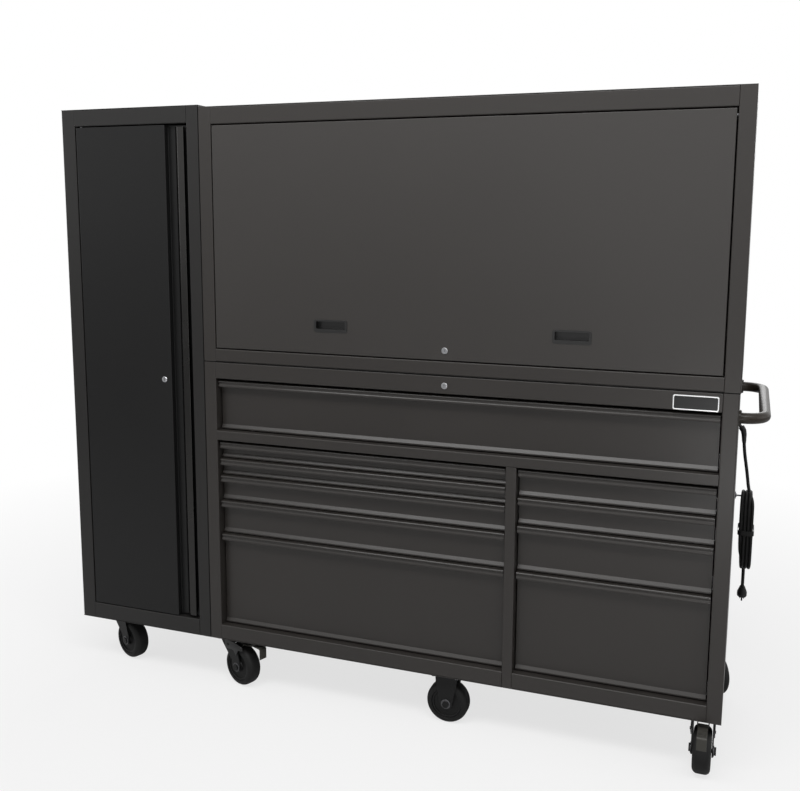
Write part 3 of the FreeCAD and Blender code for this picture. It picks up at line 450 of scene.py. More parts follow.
def moulded(name, colour, rough, grain=700.0, depth=0.12, dust=0.15, wear=0.2,
            sheen=0.0, shine=0.5):
    """Rubber or plastic from a mould: fine texture, dust in the open, dull edges."""
    material, b, shader = new_material(name)
    base = place_group(b, "drift", Color=colour, Roughness=rough, Amount=0.12, Scale=14.0)
    edge = place_group(b, "edges", Width=0.5 * MM, Amount=wear)
    fall = place_group(b, "dust", Amount=dust)
    edge_tone = b.blend(edge.outputs["Mask"], base.outputs["Color"], (0.09, 0.09, 0.09))
    dusty = b.blend(fall.outputs[0], edge_tone, (0.22, 0.21, 0.20))
    height = place_group(b, "grain", Scale=grain)
    bump = b.add("ShaderNodeBump", Strength=depth, Distance=0.2 * MM,
                 Height=height.outputs[0], Normal=edge.outputs["Normal"])
    wire(b, shader, dusty, base.outputs["Roughness"], bump)
    shader.inputs["Sheen Weight"].default_value = sheen
    shader.inputs["Specular IOR Level"].default_value = shine
    return material


def ribbed(name, colour, rough, pitch):
    """Drawer mat: ribs running from front to back over a fine grain."""
    material, b, shader = new_material(name)
    place = object_place(b)
    along = b.add("ShaderNodeSeparateXYZ", Vector=place).outputs["X"]
    wave = b.sum("SINE", b.sum("MULTIPLY", along, 2 * math.pi / pitch))
    grain = place_group(b, "grain", Scale=900.0)
    height = b.sum("MULTIPLY_ADD", wave, 0.5, grain.outputs[0])
    base = place_group(b, "drift", Color=colour, Roughness=rough, Amount=0.1, Scale=10.0)
    bump = b.add("ShaderNodeBump", Strength=0.6, Distance=0.6 * MM, Height=height)
    wire(b, shader, base.outputs["Color"], base.outputs["Roughness"], bump)
    return material


def column_strips(name):
    low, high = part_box("drawer_" + COLUMNS[name][0])
    centre = (low.x + high.x) / 2
    half = (high.x - low.x) / 2 + SIDE_GAP - SLIDE_WIDTH + 0.05 * MM
    return centre, half, FRONT + MEMBERS_FROM, FRONT + PULL_BACK


def make_finishes():
    own = finish_of()
    coat = tuple(own.coat)
    rough = own.coat_roughness
    dark = tuple(own.locker_door_shaded_coat)
    painted("case coat", coat, rough, shine=0.42)
    painted("hutch coat", coat, rough)
    # The locker case and its door take darker copies of the same powder coat, painting the shade
    # that falls on the locker: painted shade.
    painted("locker shaded coat", (0.0125, 0.0118, 0.0114), rough, shine=0.34)
    painted("door coat", coat, rough - 0.02, shine=0.55)
    painted("locker door shaded coat", dark, rough - 0.02, shine=0.26)
    painted("shelf coat", coat, rough + 0.05, dust=0.2)
    painted("bar coat", (0.022, 0.017, 0.0125), 0.34, grain=700.0, shine=0.26)
    painted("caster coat", (0.006, 0.006, 0.0061), 0.36, grain=420.0, wear=0.5,
            shine=0.22)
    # The brackets' strong edge blend paints a highlight along their edges, on top of wear.
    painted("bracket coat", (0.010, 0.010, 0.0102), 0.30, grain=420.0, wear=0.9,
            shine=0.36)
    painted("pedal coat", (0.030, 0.0285, 0.023), 0.42, grain=420.0, wear=0.7, dust=0.2)
    painted("strut lacquer", (0.010, 0.010, 0.010), 0.22, depth=0.04)
    painted("shadow gap", (0.0015, 0.0015, 0.0015), 0.85, wear=0.0, dust=0.0,
            shine=0.08)
    for name in COLUMNS:
        painted("drawer coat " + name, coat, rough - 0.03, members=column_strips(name),
                shine=0.42)
    plated("slide zinc", tuple(own.zinc), 0.30, (1600.0, 40.0, 1600.0))
    plated("race zinc", tuple(own.zinc), 0.36, (400.0, 400.0, 400.0), 90.0, 0.15)
    plated("bolt zinc", (0.10, 0.10, 0.105), 0.36, (900.0, 900.0, 900.0))
    plated("anodised pull", (0.045, 0.044, 0.043), 0.26, (1600.0, 1600.0, 12.0), 600.0,
           wear=0.1)
    polished("lock chrome", tuple(own.chrome), 0.10)
    polished("rod chrome", tuple(own.chrome), 0.07)
    moulded("pull plastic", (0.007, 0.007, 0.007), 0.36, wear=0.15, dust=0.05)
    moulded("tread rubber", tuple(own.rubber), 0.58, grain=300.0, dust=0.1, wear=0.5,
            shine=0.20)
    moulded("hub plastic", (0.006, 0.006, 0.0062), 0.40, grain=500.0, dust=0.1,
            shine=0.24)
    moulded("lead rubber", (0.004, 0.004, 0.004), 0.46, grain=1200.0, sheen=0.03,
            shine=0.18)
    moulded("plug rubber", (0.006, 0.006, 0.006), 0.50, grain=800.0, shine=0.25)
    moulded("strip plastic", (0.018, 0.018, 0.0185), 0.40)
    moulded("badge field", (0.004, 0.004, 0.004), 0.30, dust=0.02, wear=0.1)
    polished("badge rim", (0.80, 0.80, 0.80), 0.32)
    ribbed("mat rubber", (0.020, 0.020, 0.0205), 0.7, 3.2 * MM)


def dress(node, material):
    """A carried-over piece takes one of the finishes."""
    mesh = frame["nodes"][node].data
    mesh.materials.clear()
    mesh.materials.append(MATERIALS[material])


# ---- modelling tools ------------
def clear_selection():
    if bpy.context.object and bpy.context.object.mode != "OBJECT":
        bpy.ops.object.mode_set(mode="OBJECT")
    bpy.ops.object.select_all(action="DESELECT")


def active():
    return bpy.context.view_layer.objects.active


def pick(obj):
    """Makes the object the only one selected."""
    clear_selection()
    bpy.context.view_layer.objects.active = obj
    obj.select_set(True)


def block(centre, size):
    """A box primitive at its place, with its size applied."""
    clear_selection()
    bpy.ops.mesh.primitive_cube_add(size=1, location=centre, scale=size)
    bpy.ops.object.transform_apply(location=True, rotation=True, scale=True)
    return active()


def drum(centre, radius, depth, turn=(0, 0, 0), sides=ROUND):
    """A cylinder primitive at its place, with its turn applied."""
    clear_selection()
    bpy.ops.mesh.primitive_cylinder_add(vertices=sides, radius=radius, depth=depth,
                                        location=centre, rotation=turn)
    bpy.ops.object.transform_apply(location=True, rotation=True, scale=True)
    return active()


def edit_faces(obj, wanted):
    """Enters edit mode with the faces that wanted(face) accepts selected."""
    pick(obj)
    bpy.ops.object.mode_set(mode="EDIT")
    bpy.ops.mesh.select_mode(type="FACE")
    bpy.ops.mesh.select_all(action="DESELECT")
    mesh = bmesh.from_edit_mesh(obj.data)
    for face in mesh.faces:
        face.select = bool(wanted(face))
    bmesh.update_edit_mesh(obj.data)


def leave_edit():
    bpy.ops.object.mode_set(mode="OBJECT")


def plate(outline, thick):
    """A flat plate with the given outline in X and Z, thickened along Y."""
    clear_selection()
    bpy.ops.mesh.primitive_circle_add(vertices=len(outline), radius=1, fill_type="NGON")
    obj = active()
    for vertex, (x, z) in zip(obj.data.vertices, outline):
        vertex.co = (x, 0, z)
    edit_faces(obj, lambda face: True)
    bpy.ops.mesh.extrude_region_move(TRANSFORM_OT_translate={"value": (0, thick, 0)})
    leave_edit()
    outward(obj)
    return obj


def inset(*steps, each=False):
    """Insets the selected faces in turn, each step a rim and a rise."""
    for rim, rise in steps:
        bpy.ops.mesh.inset(thickness=rim, depth=rise, use_individual=each)


def round_edges(obj, axis, radius):
    """Rounds the edges that run along one axis, 0 for X to 2 for Z."""
    edit_faces(obj, lambda face: False)
    bpy.ops.mesh.select_mode(type="EDGE")
    mesh = bmesh.from_edit_mesh(obj.data)
    for edge in mesh.edges:
        run = edge.verts[1].co - edge.verts[0].co
        edge.select = abs(run[axis]) > 0.9 * run.length
    bmesh.update_edit_mesh(obj.data)
    bpy.ops.mesh.bevel(offset=radius, segments=6, affect="EDGES")
    leave_edit()


def recess(obj, wanted, rim, depth):
    """Insets the chosen faces by rim and sinks them by depth."""
    edit_faces(obj, wanted)
    inset((rim, 0), (min(rim, abs(depth)) * 0.15, -depth))
    leave_edit()


def soften(obj, width, segments=2, angle=35):
    """Bevels the sharp edges with an applied modifier."""
    pick(obj)
    bevel = obj.modifiers.new("soft edges", "BEVEL")
    bevel.width = width
    bevel.segments = segments
    bevel.limit_method = "ANGLE"
    bevel.angle_limit = math.radians(angle)
    bpy.ops.object.modifier_apply(modifier=bevel.name)


def duplicate(obj, matrix):
    """A copy with its own mesh, moved by the matrix."""
    copy = obj.copy()
    copy.data = obj.data.copy()
    bpy.context.scene.collection.objects.link(copy)
    copy.data.transform(matrix)
    copy.data.update()
    return copy


def joined(objects):
    clear_selection()
    for obj in objects:
        obj.select_set(True)
    bpy.context.view_layer.objects.active = objects[0]
    if len(objects) > 1:
        bpy.ops.object.join()
    return active()


def outward(obj):
    """Makes every face point outwards."""
    edit_faces(obj, lambda face: True)
    bpy.ops.mesh.remove_doubles(threshold=1e-6)
    bpy.ops.mesh.normals_make_consistent(inside=False)
    leave_edit()


def settle(obj, name, body, material, smooth=35, replaces=()):
    """Names, smooths and paints a finished piece and hangs it on its body."""
    outward(obj)
    pick(obj)
    bpy.ops.object.shade_smooth_by_angle(angle=math.radians(smooth))
    obj.name = name
    obj.data.name = name
    obj.data.materials.clear()
    obj.data.materials.append(MATERIALS[material])
    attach(obj, body)
    if replaces:
        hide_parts(*replaces)
    return obj


# ---- operators: the steel bodies ------------
class TOOLSTORAGE_OT_materials(bpy.types.Operator):
    """Build the shader node groups and every finish"""
    bl_idname = "toolstorage.materials"
    bl_label = "Finishes"

    def execute(self, context):
        make_groups()
        make_finishes()
        return {"FINISHED"}


def pan_screw(centre, way):
    """Low round screw head standing on a surface, with a driver recess."""
    turn = way.to_track_quat("Z", "Y").to_euler()
    head = drum(centre + way * 0.9 * MM, 4.2 * MM, 1.8 * MM, turn, 20)
    edit_faces(head, lambda face: face.normal.dot(way) > 0.9)
    inset((1.1 * MM, 0.35 * MM), (1.3 * MM, -0.1 * MM), (0.2 * MM, -0.8 * MM))
    leave_edit()
    return head


class TOOLSTORAGE_OT_bodies(bpy.types.Operator):
    """Coat the three sheet bodies and screw on their back panels"""
    bl_idname = "toolstorage.bodies"
    bl_label = "Cabinet, hutch and locker"

    def execute(self, context):
        dress("cabinet_case", "case coat")
        dress("hutch_case", "hutch coat")
        dress("locker_case", "locker shaded coat")
        dress("locker_shelves", "shelf coat")
        dress("hinge_pins", "bolt zinc")
        for node in ("cabinet_case", "hutch_case", "locker_case"):
            self.back_screws(node)
        self.seams()
        self.shelf_clips()
        return {"FINISHED"}

    def shelf_clips(self):
        """Stepped clips under the corners of each locker shelf."""
        low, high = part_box("locker_shelves")
        first = block(Vector((low.x + 7 * MM, low.y + 60 * MM, low.z - 5 * MM)),
                      Vector((13 * MM, 16 * MM, 9 * MM)))
        edit_faces(first, lambda face: face.normal.x > 0.9)
        inset((2.5 * MM, 1.5 * MM))
        leave_edit()
        soften(first, 0.8 * MM, 2)
        wide = high.x - low.x - 14 * MM
        deep = high.y - low.y - 120 * MM
        turn = Matrix.Rotation(math.pi, 4, "Z")
        middle = Matrix.Translation(Vector(((low.x + high.x) / 2,
                                            (low.y + high.y) / 2, 0)))
        facing = duplicate(first, middle @ turn @ middle.inverted())
        pair = [first, facing]
        for piece in list(pair):
            side = 1 if piece is first else -1
            pair.append(duplicate(piece, Matrix.Translation(Vector((0, side * deep, 0)))))
        clips = list(pair)
        for height in SHELF_STEPS:
            for piece in pair:
                clips.append(duplicate(piece, Matrix.Translation(Vector((0, 0, height)))))
        settle(joined(clips), "shelf_clips", "carcass", "bolt zinc")

    def seams(self):
        """Near-black beads laid where the three bodies meet: painted shade standing for the dark
        of the seams between them.
        """
        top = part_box("cabinet_case")[1].z
        locker_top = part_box("locker_case")[1].z
        wide = 2.6 * MM
        tall = locker_top - UNDER
        beads = []
        for centre, size in (
                (((LEFT + RIGHT) / 2, FRONT, top), (RIGHT - LEFT, SEAM_DEEP, wide)),
                ((RIGHT, FRONT + 255 * MM, top - wide / 2), (SEAM_DEEP, 510 * MM, wide)),
                ((LEFT, FRONT, UNDER + tall / 2), (SEAM_WIDE, SEAM_DEEP, tall)),
                ((LEFT, BACK, (UNDER + top) / 2), (SEAM_WIDE, SEAM_DEEP, top - UNDER))):
            bead = block(Vector(centre), Vector(size))
            soften(bead, 0.1 * MM, 1)
            beads.append(bead)
        settle(joined(beads), "body_seams", "carcass",
               "shadow gap")

    def back_screws(self, node):
        low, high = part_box(node)
        way = Vector((0, 1, 0))
        first = pan_screw(Vector((low.x + SCREW_IN, high.y, low.z + SCREW_IN)), way)
        wide = high.x - low.x - 2 * SCREW_IN
        tall = high.z - low.z - 2 * SCREW_IN
        across = max(2, round(wide / SCREW_PITCH))
        up = max(2, round(tall / SCREW_PITCH))
        heads = [first]
        for i in range(across + 1):
            for j in range(up + 1):
                inside = 0 < i < across and 0 < j < up
                if inside or (i == 0 and j == 0):
                    continue
                move = Vector((wide * i / across, 0, tall * j / up))
                heads.append(duplicate(first, Matrix.Translation(move)))
        settle(joined(heads), node.replace("_case", "") + "_back_screws", "carcass",
               "bolt zinc")


class TOOLSTORAGE_OT_drawers(bpy.types.Operator):
    """Coat the drawers, plate their slides and lay a ribbed mat in each tray"""
    bl_idname = "toolstorage.drawers"
    bl_label = "Drawers and slides"

    def execute(self, context):
        dress("slide_rails", "slide zinc")
        for column, names in COLUMNS.items():
            for name in names:
                dress("drawer_" + name, "drawer coat " + column)
                dress("slides_" + name, "slide zinc")
                self.mat(name)
        return {"FINISHED"}

    def mat(self, name):
        low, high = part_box("drawer_" + name)
        thick = sizes().mat
        side = SLIDE_WIDTH - SIDE_GAP + 2.2 * MM
        front = FRONT + MAT_FROM
        back = high.y - 3 * MM
        floor = low.z + 6.2 * MM
        centre = Vector(((low.x + high.x) / 2, (front + back) / 2, floor + thick / 2))
        size = Vector((high.x - low.x - 2 * side, back - front, thick))
        mat = block(centre, size)
        recess(mat, lambda face: face.normal.z > 0.9, 2.0 * MM, 0.5 * MM)
        settle(mat, "mat_" + name, "drawer_" + name, "mat rubber")


class TOOLSTORAGE_OT_doors(bpy.types.Operator):
    """Finish both doors, their pulls, locks and struts"""
    bl_idname = "toolstorage.doors"
    bl_label = "Doors, locks and struts"

    def execute(self, context):
        dress("hutch_door", "door coat")
        dress("locker_door", "locker door shaded coat")
        dress("door_pulls", "pull plastic")
        dress("locker_door_pull", "anodised pull")
        for lock in ("cabinet_lock", "hutch_lock", "locker_lock"):
            dress(lock, "lock chrome")
        dress("strut_cylinders", "strut lacquer")
        dress("strut_rods", "rod chrome")
        return {"FINISHED"}


class TOOLSTORAGE_OT_badge(bpy.types.Operator):
    """Set a bare framed plate at the right of the top rail"""
    bl_idname = "toolstorage.badge"
    bl_label = "Badge plate"

    def execute(self, context):
        wide = sizes().badge_width
        tall = sizes().badge_height
        thick = 2.4 * MM
        centre = at(1444, 0, 861.5) - Vector((0, thick / 2, 0))
        rim = block(centre, Vector((wide, thick, tall)))
        round_edges(rim, 1, 5 * MM)
        recess(rim, lambda face: face.normal.y < -0.9, 3.0 * MM, 1.0 * MM)
        soften(rim, 0.3 * MM, 2, 50)
        settle(rim, "badge_rim", "carcass", "badge rim")
        inner = Vector((wide - 6.4 * MM, 0.5 * MM, tall - 6.4 * MM))
        field = block(centre - Vector((0, 0.45 * MM, 0)), inner)
        round_edges(field, 1, 3.4 * MM)
        settle(field, "badge_field", "carcass", "badge field")
        return {"FINISHED"}


class TOOLSTORAGE_OT_handle(bpy.types.Operator):
    """Coat the push bar and bolt its flanges on"""
    bl_idname = "toolstorage.handle"
    bl_label = "Push handle"

    def execute(self, context):
        dress("push_handle", "bar coat")
        low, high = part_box("push_handle")
        out = Vector((1, 0, 0))
        reach = 21 * MM
        middle = (low.z + high.z) / 2
        heads = []
        for y in (low.y + reach, high.y - reach):
            for step in (-15.6 * MM, 15.6 * MM):
                spot = Vector((RIGHT + 5 * MM, y, middle + step))
                heads.append(pan_screw(spot, out))
        settle(joined(heads), "handle_screws", "carcass", "bolt zinc")
        return {"FINISHED"}


# ---- operators: casters ------------
def wheel_shape(radius, width, tread):
    """Tyre and hub about the Y axis at the origin."""
    lie = (math.radians(90), 0, 0)
    tyre = drum(Vector(), radius, width, lie, 64)
    ends = lambda face: abs(face.normal.y) > 0.999
    crown = 14.5 * MM
    soften(tyre, crown, 7, 60)
    edit_faces(tyre, ends)
    inset((tread - crown, 0), (1.0 * MM, -6 * MM), each=True)
    leave_edit()
    rim = radius - tread - 1.2 * MM
    hub = drum(Vector(), rim, width - 5 * MM, lie, 48)
    edit_faces(hub, ends)
    inset((5 * MM, 0), (1.5 * MM, -13 * MM), (rim - 30 * MM, 0), (1.2 * MM, 9 * MM),
          (4.0 * MM, 0), (0.8 * MM, 4.5 * MM), each=True)
    leave_edit()
    soften(hub, 0.7 * MM, 2, 40)
    return tyre, hub


def upright(along, across):
    """Turn that lays X on along, Y on across and keeps Z up."""
    return Matrix((along, across, Vector((0, 0, 1)))).transposed().to_4x4()


def axle_frame(name):
    """Matrix that lays a wheel drawn about Y onto the axle of this caster."""
    roll = joint("roll_" + name)
    across = Vector(roll["axis"]).normalized()
    turned = upright(across.cross(Vector((0, 0, 1))), across)
    return Matrix.Translation(Vector(roll["pos_m"])) @ turned


class TOOLSTORAGE_OT_casters(bpy.types.Operator):
    """Model the treads and hubs, coat the forks and plates, and plate the bolts"""
    bl_idname = "toolstorage.casters"
    bl_label = "Casters"

    def execute(self, context):
        dress("caster_plates", "caster coat")
        dress("caster_bolts", "bolt zinc")
        dress("rigid_forks", "caster coat")
        low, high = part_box("wheel_centre_front")
        radius = (high.z - low.z) / 2
        tyre, hub = wheel_shape(radius, 48 * MM, sizes().tread)
        for name in SWIVELS + RIGIDS:
            place = axle_frame(name)
            body = "wheel_" + name
            tread = duplicate(tyre, place)
            settle(tread, "tread_" + name, body, "tread rubber",
                   replaces=("wheel_" + name,))
            settle(duplicate(hub, place), "hub_" + name, body, "hub plastic")
        for name in SWIVELS:
            dress("fork_" + name, "caster coat")
            self.race_seal(name)
            self.washers(name, "fork_" + name)
        for name in RIGIDS:
            self.washers(name, "carcass")
        for name in ("left_front", "right_front"):
            dress("pedal_" + name, "pedal coat")
            self.pedal_ribs(name)
            self.brackets(name)
        for spare in (tyre, hub):
            bpy.data.objects.remove(spare)
        return {"FINISHED"}

    def washers(self, name, body):
        """Stepped ring around the head and the nut of each axle."""
        rings = []
        for side in (-1, 1):
            face = side * (24 + 1.3 + 4) * MM
            ring = drum(Vector((0, face + side * 0.9 * MM, 0)), 14.5 * MM, 1.8 * MM,
                        (math.radians(90), 0, 0), 36)
            soften(ring, 0.5 * MM, 2)
            ring.data.transform(axle_frame(name))
            rings.append(ring)
        settle(joined(rings), "washers_" + name, body, "bolt zinc")

    def race_seal(self, name):
        """Pressed dust ring around the swivel race."""
        swivel = joint("swivel_" + name)
        centre = Vector(swivel["pos_m"])
        centre.z = UNDER - 8 * MM
        ring = drum(centre, 31 * MM, 7.4 * MM, (0, 0, 0), 48)
        soften(ring, 1.6 * MM, 3, 40)
        settle(ring, "race_" + name, "carcass", "race zinc")

    def brackets(self, name):
        """Pressed brake brackets with a bolt head, one outside each fork leg."""
        swivel = Vector(joint("swivel_" + name)["pos_m"])
        brake = joint("brake_" + name)
        across = Vector(brake["axis"]).normalized()
        along = across.cross(Vector((0, 0, 1)))
        if (Vector(brake["pos_m"]) - swivel).dot(along) < 0:
            along, across = -along, -across
        turned = upright(along, across)
        origin = Matrix.Translation(Vector((swivel.x, swivel.y, UNDER))) @ turned
        outline = ((-14, -16), (30, -14), (70, -22), (72, -34), (50, -38), (40, -58),
                   (26, -42), (-12, -44))
        parts = []
        for side in (-1, 1):
            near = side * 29.7 * MM
            leaf = plate([(x * MM, z * MM) for x, z in outline], side * 2.2 * MM)
            leaf.data.transform(Matrix.Translation(Vector((0, near, 0))))
            soften(leaf, 0.7 * MM, 2, 30)
            parts.append(leaf)
            way = Vector((0, side, 0))
            for spot in ((62, -28), (0, -30)):
                place = Vector((spot[0] * MM, near + side * 2.0 * MM, spot[1] * MM))
                parts.append(pan_screw(place, way))
        for part in parts:
            part.data.transform(origin)
        settle(joined(parts), "brackets_" + name, "fork_" + name, "bracket coat")

    def pedal_ribs(self, name):
        """Raised ribs across the foot pad of a brake pedal."""
        brake = joint("brake_" + name)
        pivot = Vector(brake["pos_m"])
        across = Vector(brake["axis"]).normalized()
        along = across.cross(Vector((0, 0, 1)))
        turned = upright(along, across)
        ribs = []
        for step in (56, 62, 68, 74, 80):
            rib = block(Vector(), Vector((2.6 * MM, 22 * MM, 1.6 * MM)))
            soften(rib, 0.5 * MM, 2)
            shift = Matrix.Translation(Vector((step * MM, 0, 11.3 * MM)))
            rib.data.transform(Matrix.Translation(pivot) @ turned @ shift)
            ribs.append(rib)
        settle(joined(ribs), "ribs_" + name, "pedal_" + name, "pedal coat")


# ---- operators: power lead ------------
LEAD_START = (1490, 585, 710)
LEAD_ROUTE = ((1564, 585, 708), (1567, 578, 625), (1580, 563, 555), (1588, 556, 495))
TAIL_ROUTE = ((1586, 568, 250), (1586, 568, 210), (1586, 590, 172))
HANK_CENTRE = (1586, 552)
HANK_FOLD = 35
HANK_LOW = 250 + 5 + 32
HANK_HIGH = 495 - 5 - 32
HANK_TURNS = 3
HANK_STEP = 10.6


def fold_points(x0, x1, z, way):
    """Half a turn of the hank, over its top or under its foot."""
    reach = HANK_FOLD / math.cos(math.radians(15))
    points = []
    for i in range(6):
        angle = math.radians(15 + 30 * i)
        y = HANK_CENTRE[1] - way * reach * math.cos(angle)
        rise = way * reach * math.sin(angle)
        x = x0 + (x1 - x0) * i / 5
        points.append((x, y, z + rise))
    return points


def hank_points():
    """Turns of the hank, one beside the other from the outside in."""
    points = []
    x = HANK_CENTRE[0] + HANK_STEP * HANK_TURNS / 2
    near = HANK_CENTRE[1] - HANK_FOLD
    points.append((x, near + 9, HANK_HIGH + 14))
    points.append((x, near, HANK_HIGH - 30))
    for turn in range(HANK_TURNS):
        mid = x - HANK_STEP / 2
        last = x - HANK_STEP
        points += [(px, 2 * HANK_CENTRE[1] - py, pz) for px, py, pz in
                   fold_points(x, mid, HANK_LOW, -1)]
        points += [(px, 2 * HANK_CENTRE[1] - py, pz) for px, py, pz in
                   fold_points(mid, last, HANK_HIGH, 1)]
        x = last
    points.append((x, near, HANK_LOW + 40))
    points.append((x + 6, near + 22, HANK_LOW))
    return points


def tube(name, kind, points, radius):
    """A round tube curve through the points, and its one spline."""
    curve = bpy.data.curves.new(name, "CURVE")
    curve.dimensions = "3D"
    line = curve.splines.new(kind)
    line.points.add(len(points) - 1)
    for point, place in zip(line.points, points):
        point.co = (place.x, place.y, place.z, 1)
    curve.bevel_depth = radius
    curve.bevel_resolution = 5
    curve.use_fill_caps = True
    obj = bpy.data.objects.new(name, curve)
    bpy.context.scene.collection.objects.link(obj)
    return obj, line


class TOOLSTORAGE_OT_lead(bpy.types.Operator):
    """Lay the power lead, its hank, tie, gland and plug"""
    bl_idname = "toolstorage.lead"
    bl_label = "Power lead"

    def execute(self, context):
        dress("power_strip", "strip plastic")
        dress("cord_gland", "pull plastic")
        dress("cord_plug", "plug rubber")
        points = (LEAD_START,) + LEAD_ROUTE + tuple(hank_points()) + TAIL_ROUTE
        lead = self.spline([at(*p) for p in points], sizes().cord / 2)
        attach(lead, "carcass")
        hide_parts("power_cord", "cord_hank")
        line = self.bare_line(lead)
        self.relief(line)
        self.hook()
        self.tie()
        return {"FINISHED"}

    def spline(self, points, radius):
        lead, line = tube("power_lead", "NURBS", points, radius)
        line.order_u = 3
        line.use_endpoint_u = True
        line.resolution_u = 6
        lead.data.materials.append(MATERIALS["lead rubber"])
        return lead

    def bare_line(self, lead):
        """Points along the lead's own line."""
        bare = lead.copy()
        bare.data = lead.data.copy()
        bare.data.bevel_depth = 0
        bpy.context.scene.collection.objects.link(bare)
        bpy.context.view_layer.update()
        graph = bpy.context.evaluated_depsgraph_get()
        mesh = bpy.data.meshes.new_from_object(bare.evaluated_get(graph))
        places = [v.co.copy() for v in mesh.vertices]
        bpy.data.objects.remove(bare)
        return places

    def relief(self, line):
        """Tapered, ribbed sleeve where the lead leaves the side panel."""
        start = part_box("cord_gland")[1].x - 1.5 * MM
        first = next(p for p in line if p.x > start)
        begin = line.index(first)
        run = [first]
        far = 0.0
        for a, b in zip(line[begin:], line[begin + 1:]):
            pieces = max(1, round((b - a).length / (1.5 * MM)))
            for i in range(1, pieces + 1):
                run.append(a.lerp(b, i / pieces))
            far += (b - a).length
            if far > 44 * MM:
                break
        sleeve, spline = tube("lead_relief", "POLY", run, 1 * MM)
        for i, point in enumerate(spline.points):
            share = i / (len(run) - 1)
            rib = 0.7 if i % 3 == 0 and 0.15 < share < 0.9 else 0.0
            point.radius = 9.2 - 3.4 * share + rib
        pick(sleeve)
        bpy.ops.object.convert(target="MESH")
        settle(active(), "lead_relief", "carcass", "plug rubber")

    def hook(self):
        """Steel hook on the side panel that the hank hangs from."""
        root = at(1549, HANK_CENTRE[1], HANK_HIGH + 21)
        clear_selection()
        bpy.ops.mesh.primitive_circle_add(vertices=16, radius=2.6 * MM, fill_type="NGON",
                                          location=root, rotation=(0, math.pi / 2, 0))
        bpy.ops.object.transform_apply(location=True, rotation=True, scale=True)
        rod = active()
        edit_faces(rod, lambda face: True)
        reach = 49 * MM
        bpy.ops.mesh.extrude_region_move(TRANSFORM_OT_translate={"value": (reach, 0, 0)})
        hub = root + Vector((reach, 0, 7 * MM))
        bpy.ops.mesh.spin(steps=7, angle=-math.pi / 2, center=hub, axis=(0, 1, 0))
        bpy.ops.mesh.extrude_region_move(TRANSFORM_OT_translate={"value": (0, 0, 9 * MM)})
        leave_edit()
        outward(rod)
        foot = drum(root + Vector((1.2 * MM, 0, 0)), 11 * MM, 2.4 * MM,
                    (0, math.pi / 2, 0), 32)
        soften(foot, 0.6 * MM, 2)
        parts = [rod, foot]
        for step in (-6.5, 6.5):
            place = root + Vector((2.4 * MM, step * MM, 0))
            parts.append(pan_screw(place, Vector((1, 0, 0))))
        settle(joined(parts), "lead_hook", "carcass", "bolt zinc")

    def tie(self):
        """Hook-and-loop strap around the waist of the hank."""
        wide = 2 * HANK_FOLD + 16
        deep = HANK_STEP * HANK_TURNS + 15
        centre = at(HANK_CENTRE[0], HANK_CENTRE[1], 372)
        strap = block(centre, Vector((deep * MM, wide * MM, 15 * MM)))
        edit_faces(strap, lambda face: abs(face.normal.z) > 0.9)
        bpy.ops.mesh.delete(type="ONLY_FACE")
        leave_edit()
        round_edges(strap, 2, 12 * MM)
        skin = strap.modifiers.new("cloth", "SOLIDIFY")
        skin.thickness = 1.2 * MM
        skin.offset = 0
        pick(strap)
        bpy.ops.object.modifier_apply(modifier=skin.name)
        settle(strap, "hank_tie", "carcass", "lead rubber")


# ---- operator: stage ------------
VIEW_AT = (1558.8, -2519.9, 1320.7)
VIEW_RIGHT = (0.93917, 0.34343, 0.00419)
VIEW_DOWN = (0.05350, -0.13423, -0.98950)
VIEW_AHEAD = (-0.33926, 0.92954, -0.14444)
FRAME_WIDE = 800
FRAME_TALL = 791
FOCUS_PX = 958.03
HORIZON_PX = 360.0
# name, place, aim, size and power
LAMPS = (
    ("front", (1.0, -4.4, 1.5), (0.4, 0.0, 0.9), (2.6, 2.2), 8),
    ("low front", (1.06, -1.75, 0.50), (1.0, -0.27, 0.9), (0.2, 0.3), 2),
    ("overhead", (0.4, -2.1, 3.5), (0.1, -0.2, 0.9), (4.6, 0.9), 92),
    ("side", (4.4, -0.4, 2.0), (0.2, 0.0, 0.9), (2.4, 2.4), 20.1),
    ("left", (-4.2, -1.0, 2.4), (-0.3, 0.0, 0.9), (2.4, 2.4), 23.5),
    ("rear", (0.0, 4.2, 2.8), (0.0, 0.0, 0.9), (3.4, 2.2), 53.6))


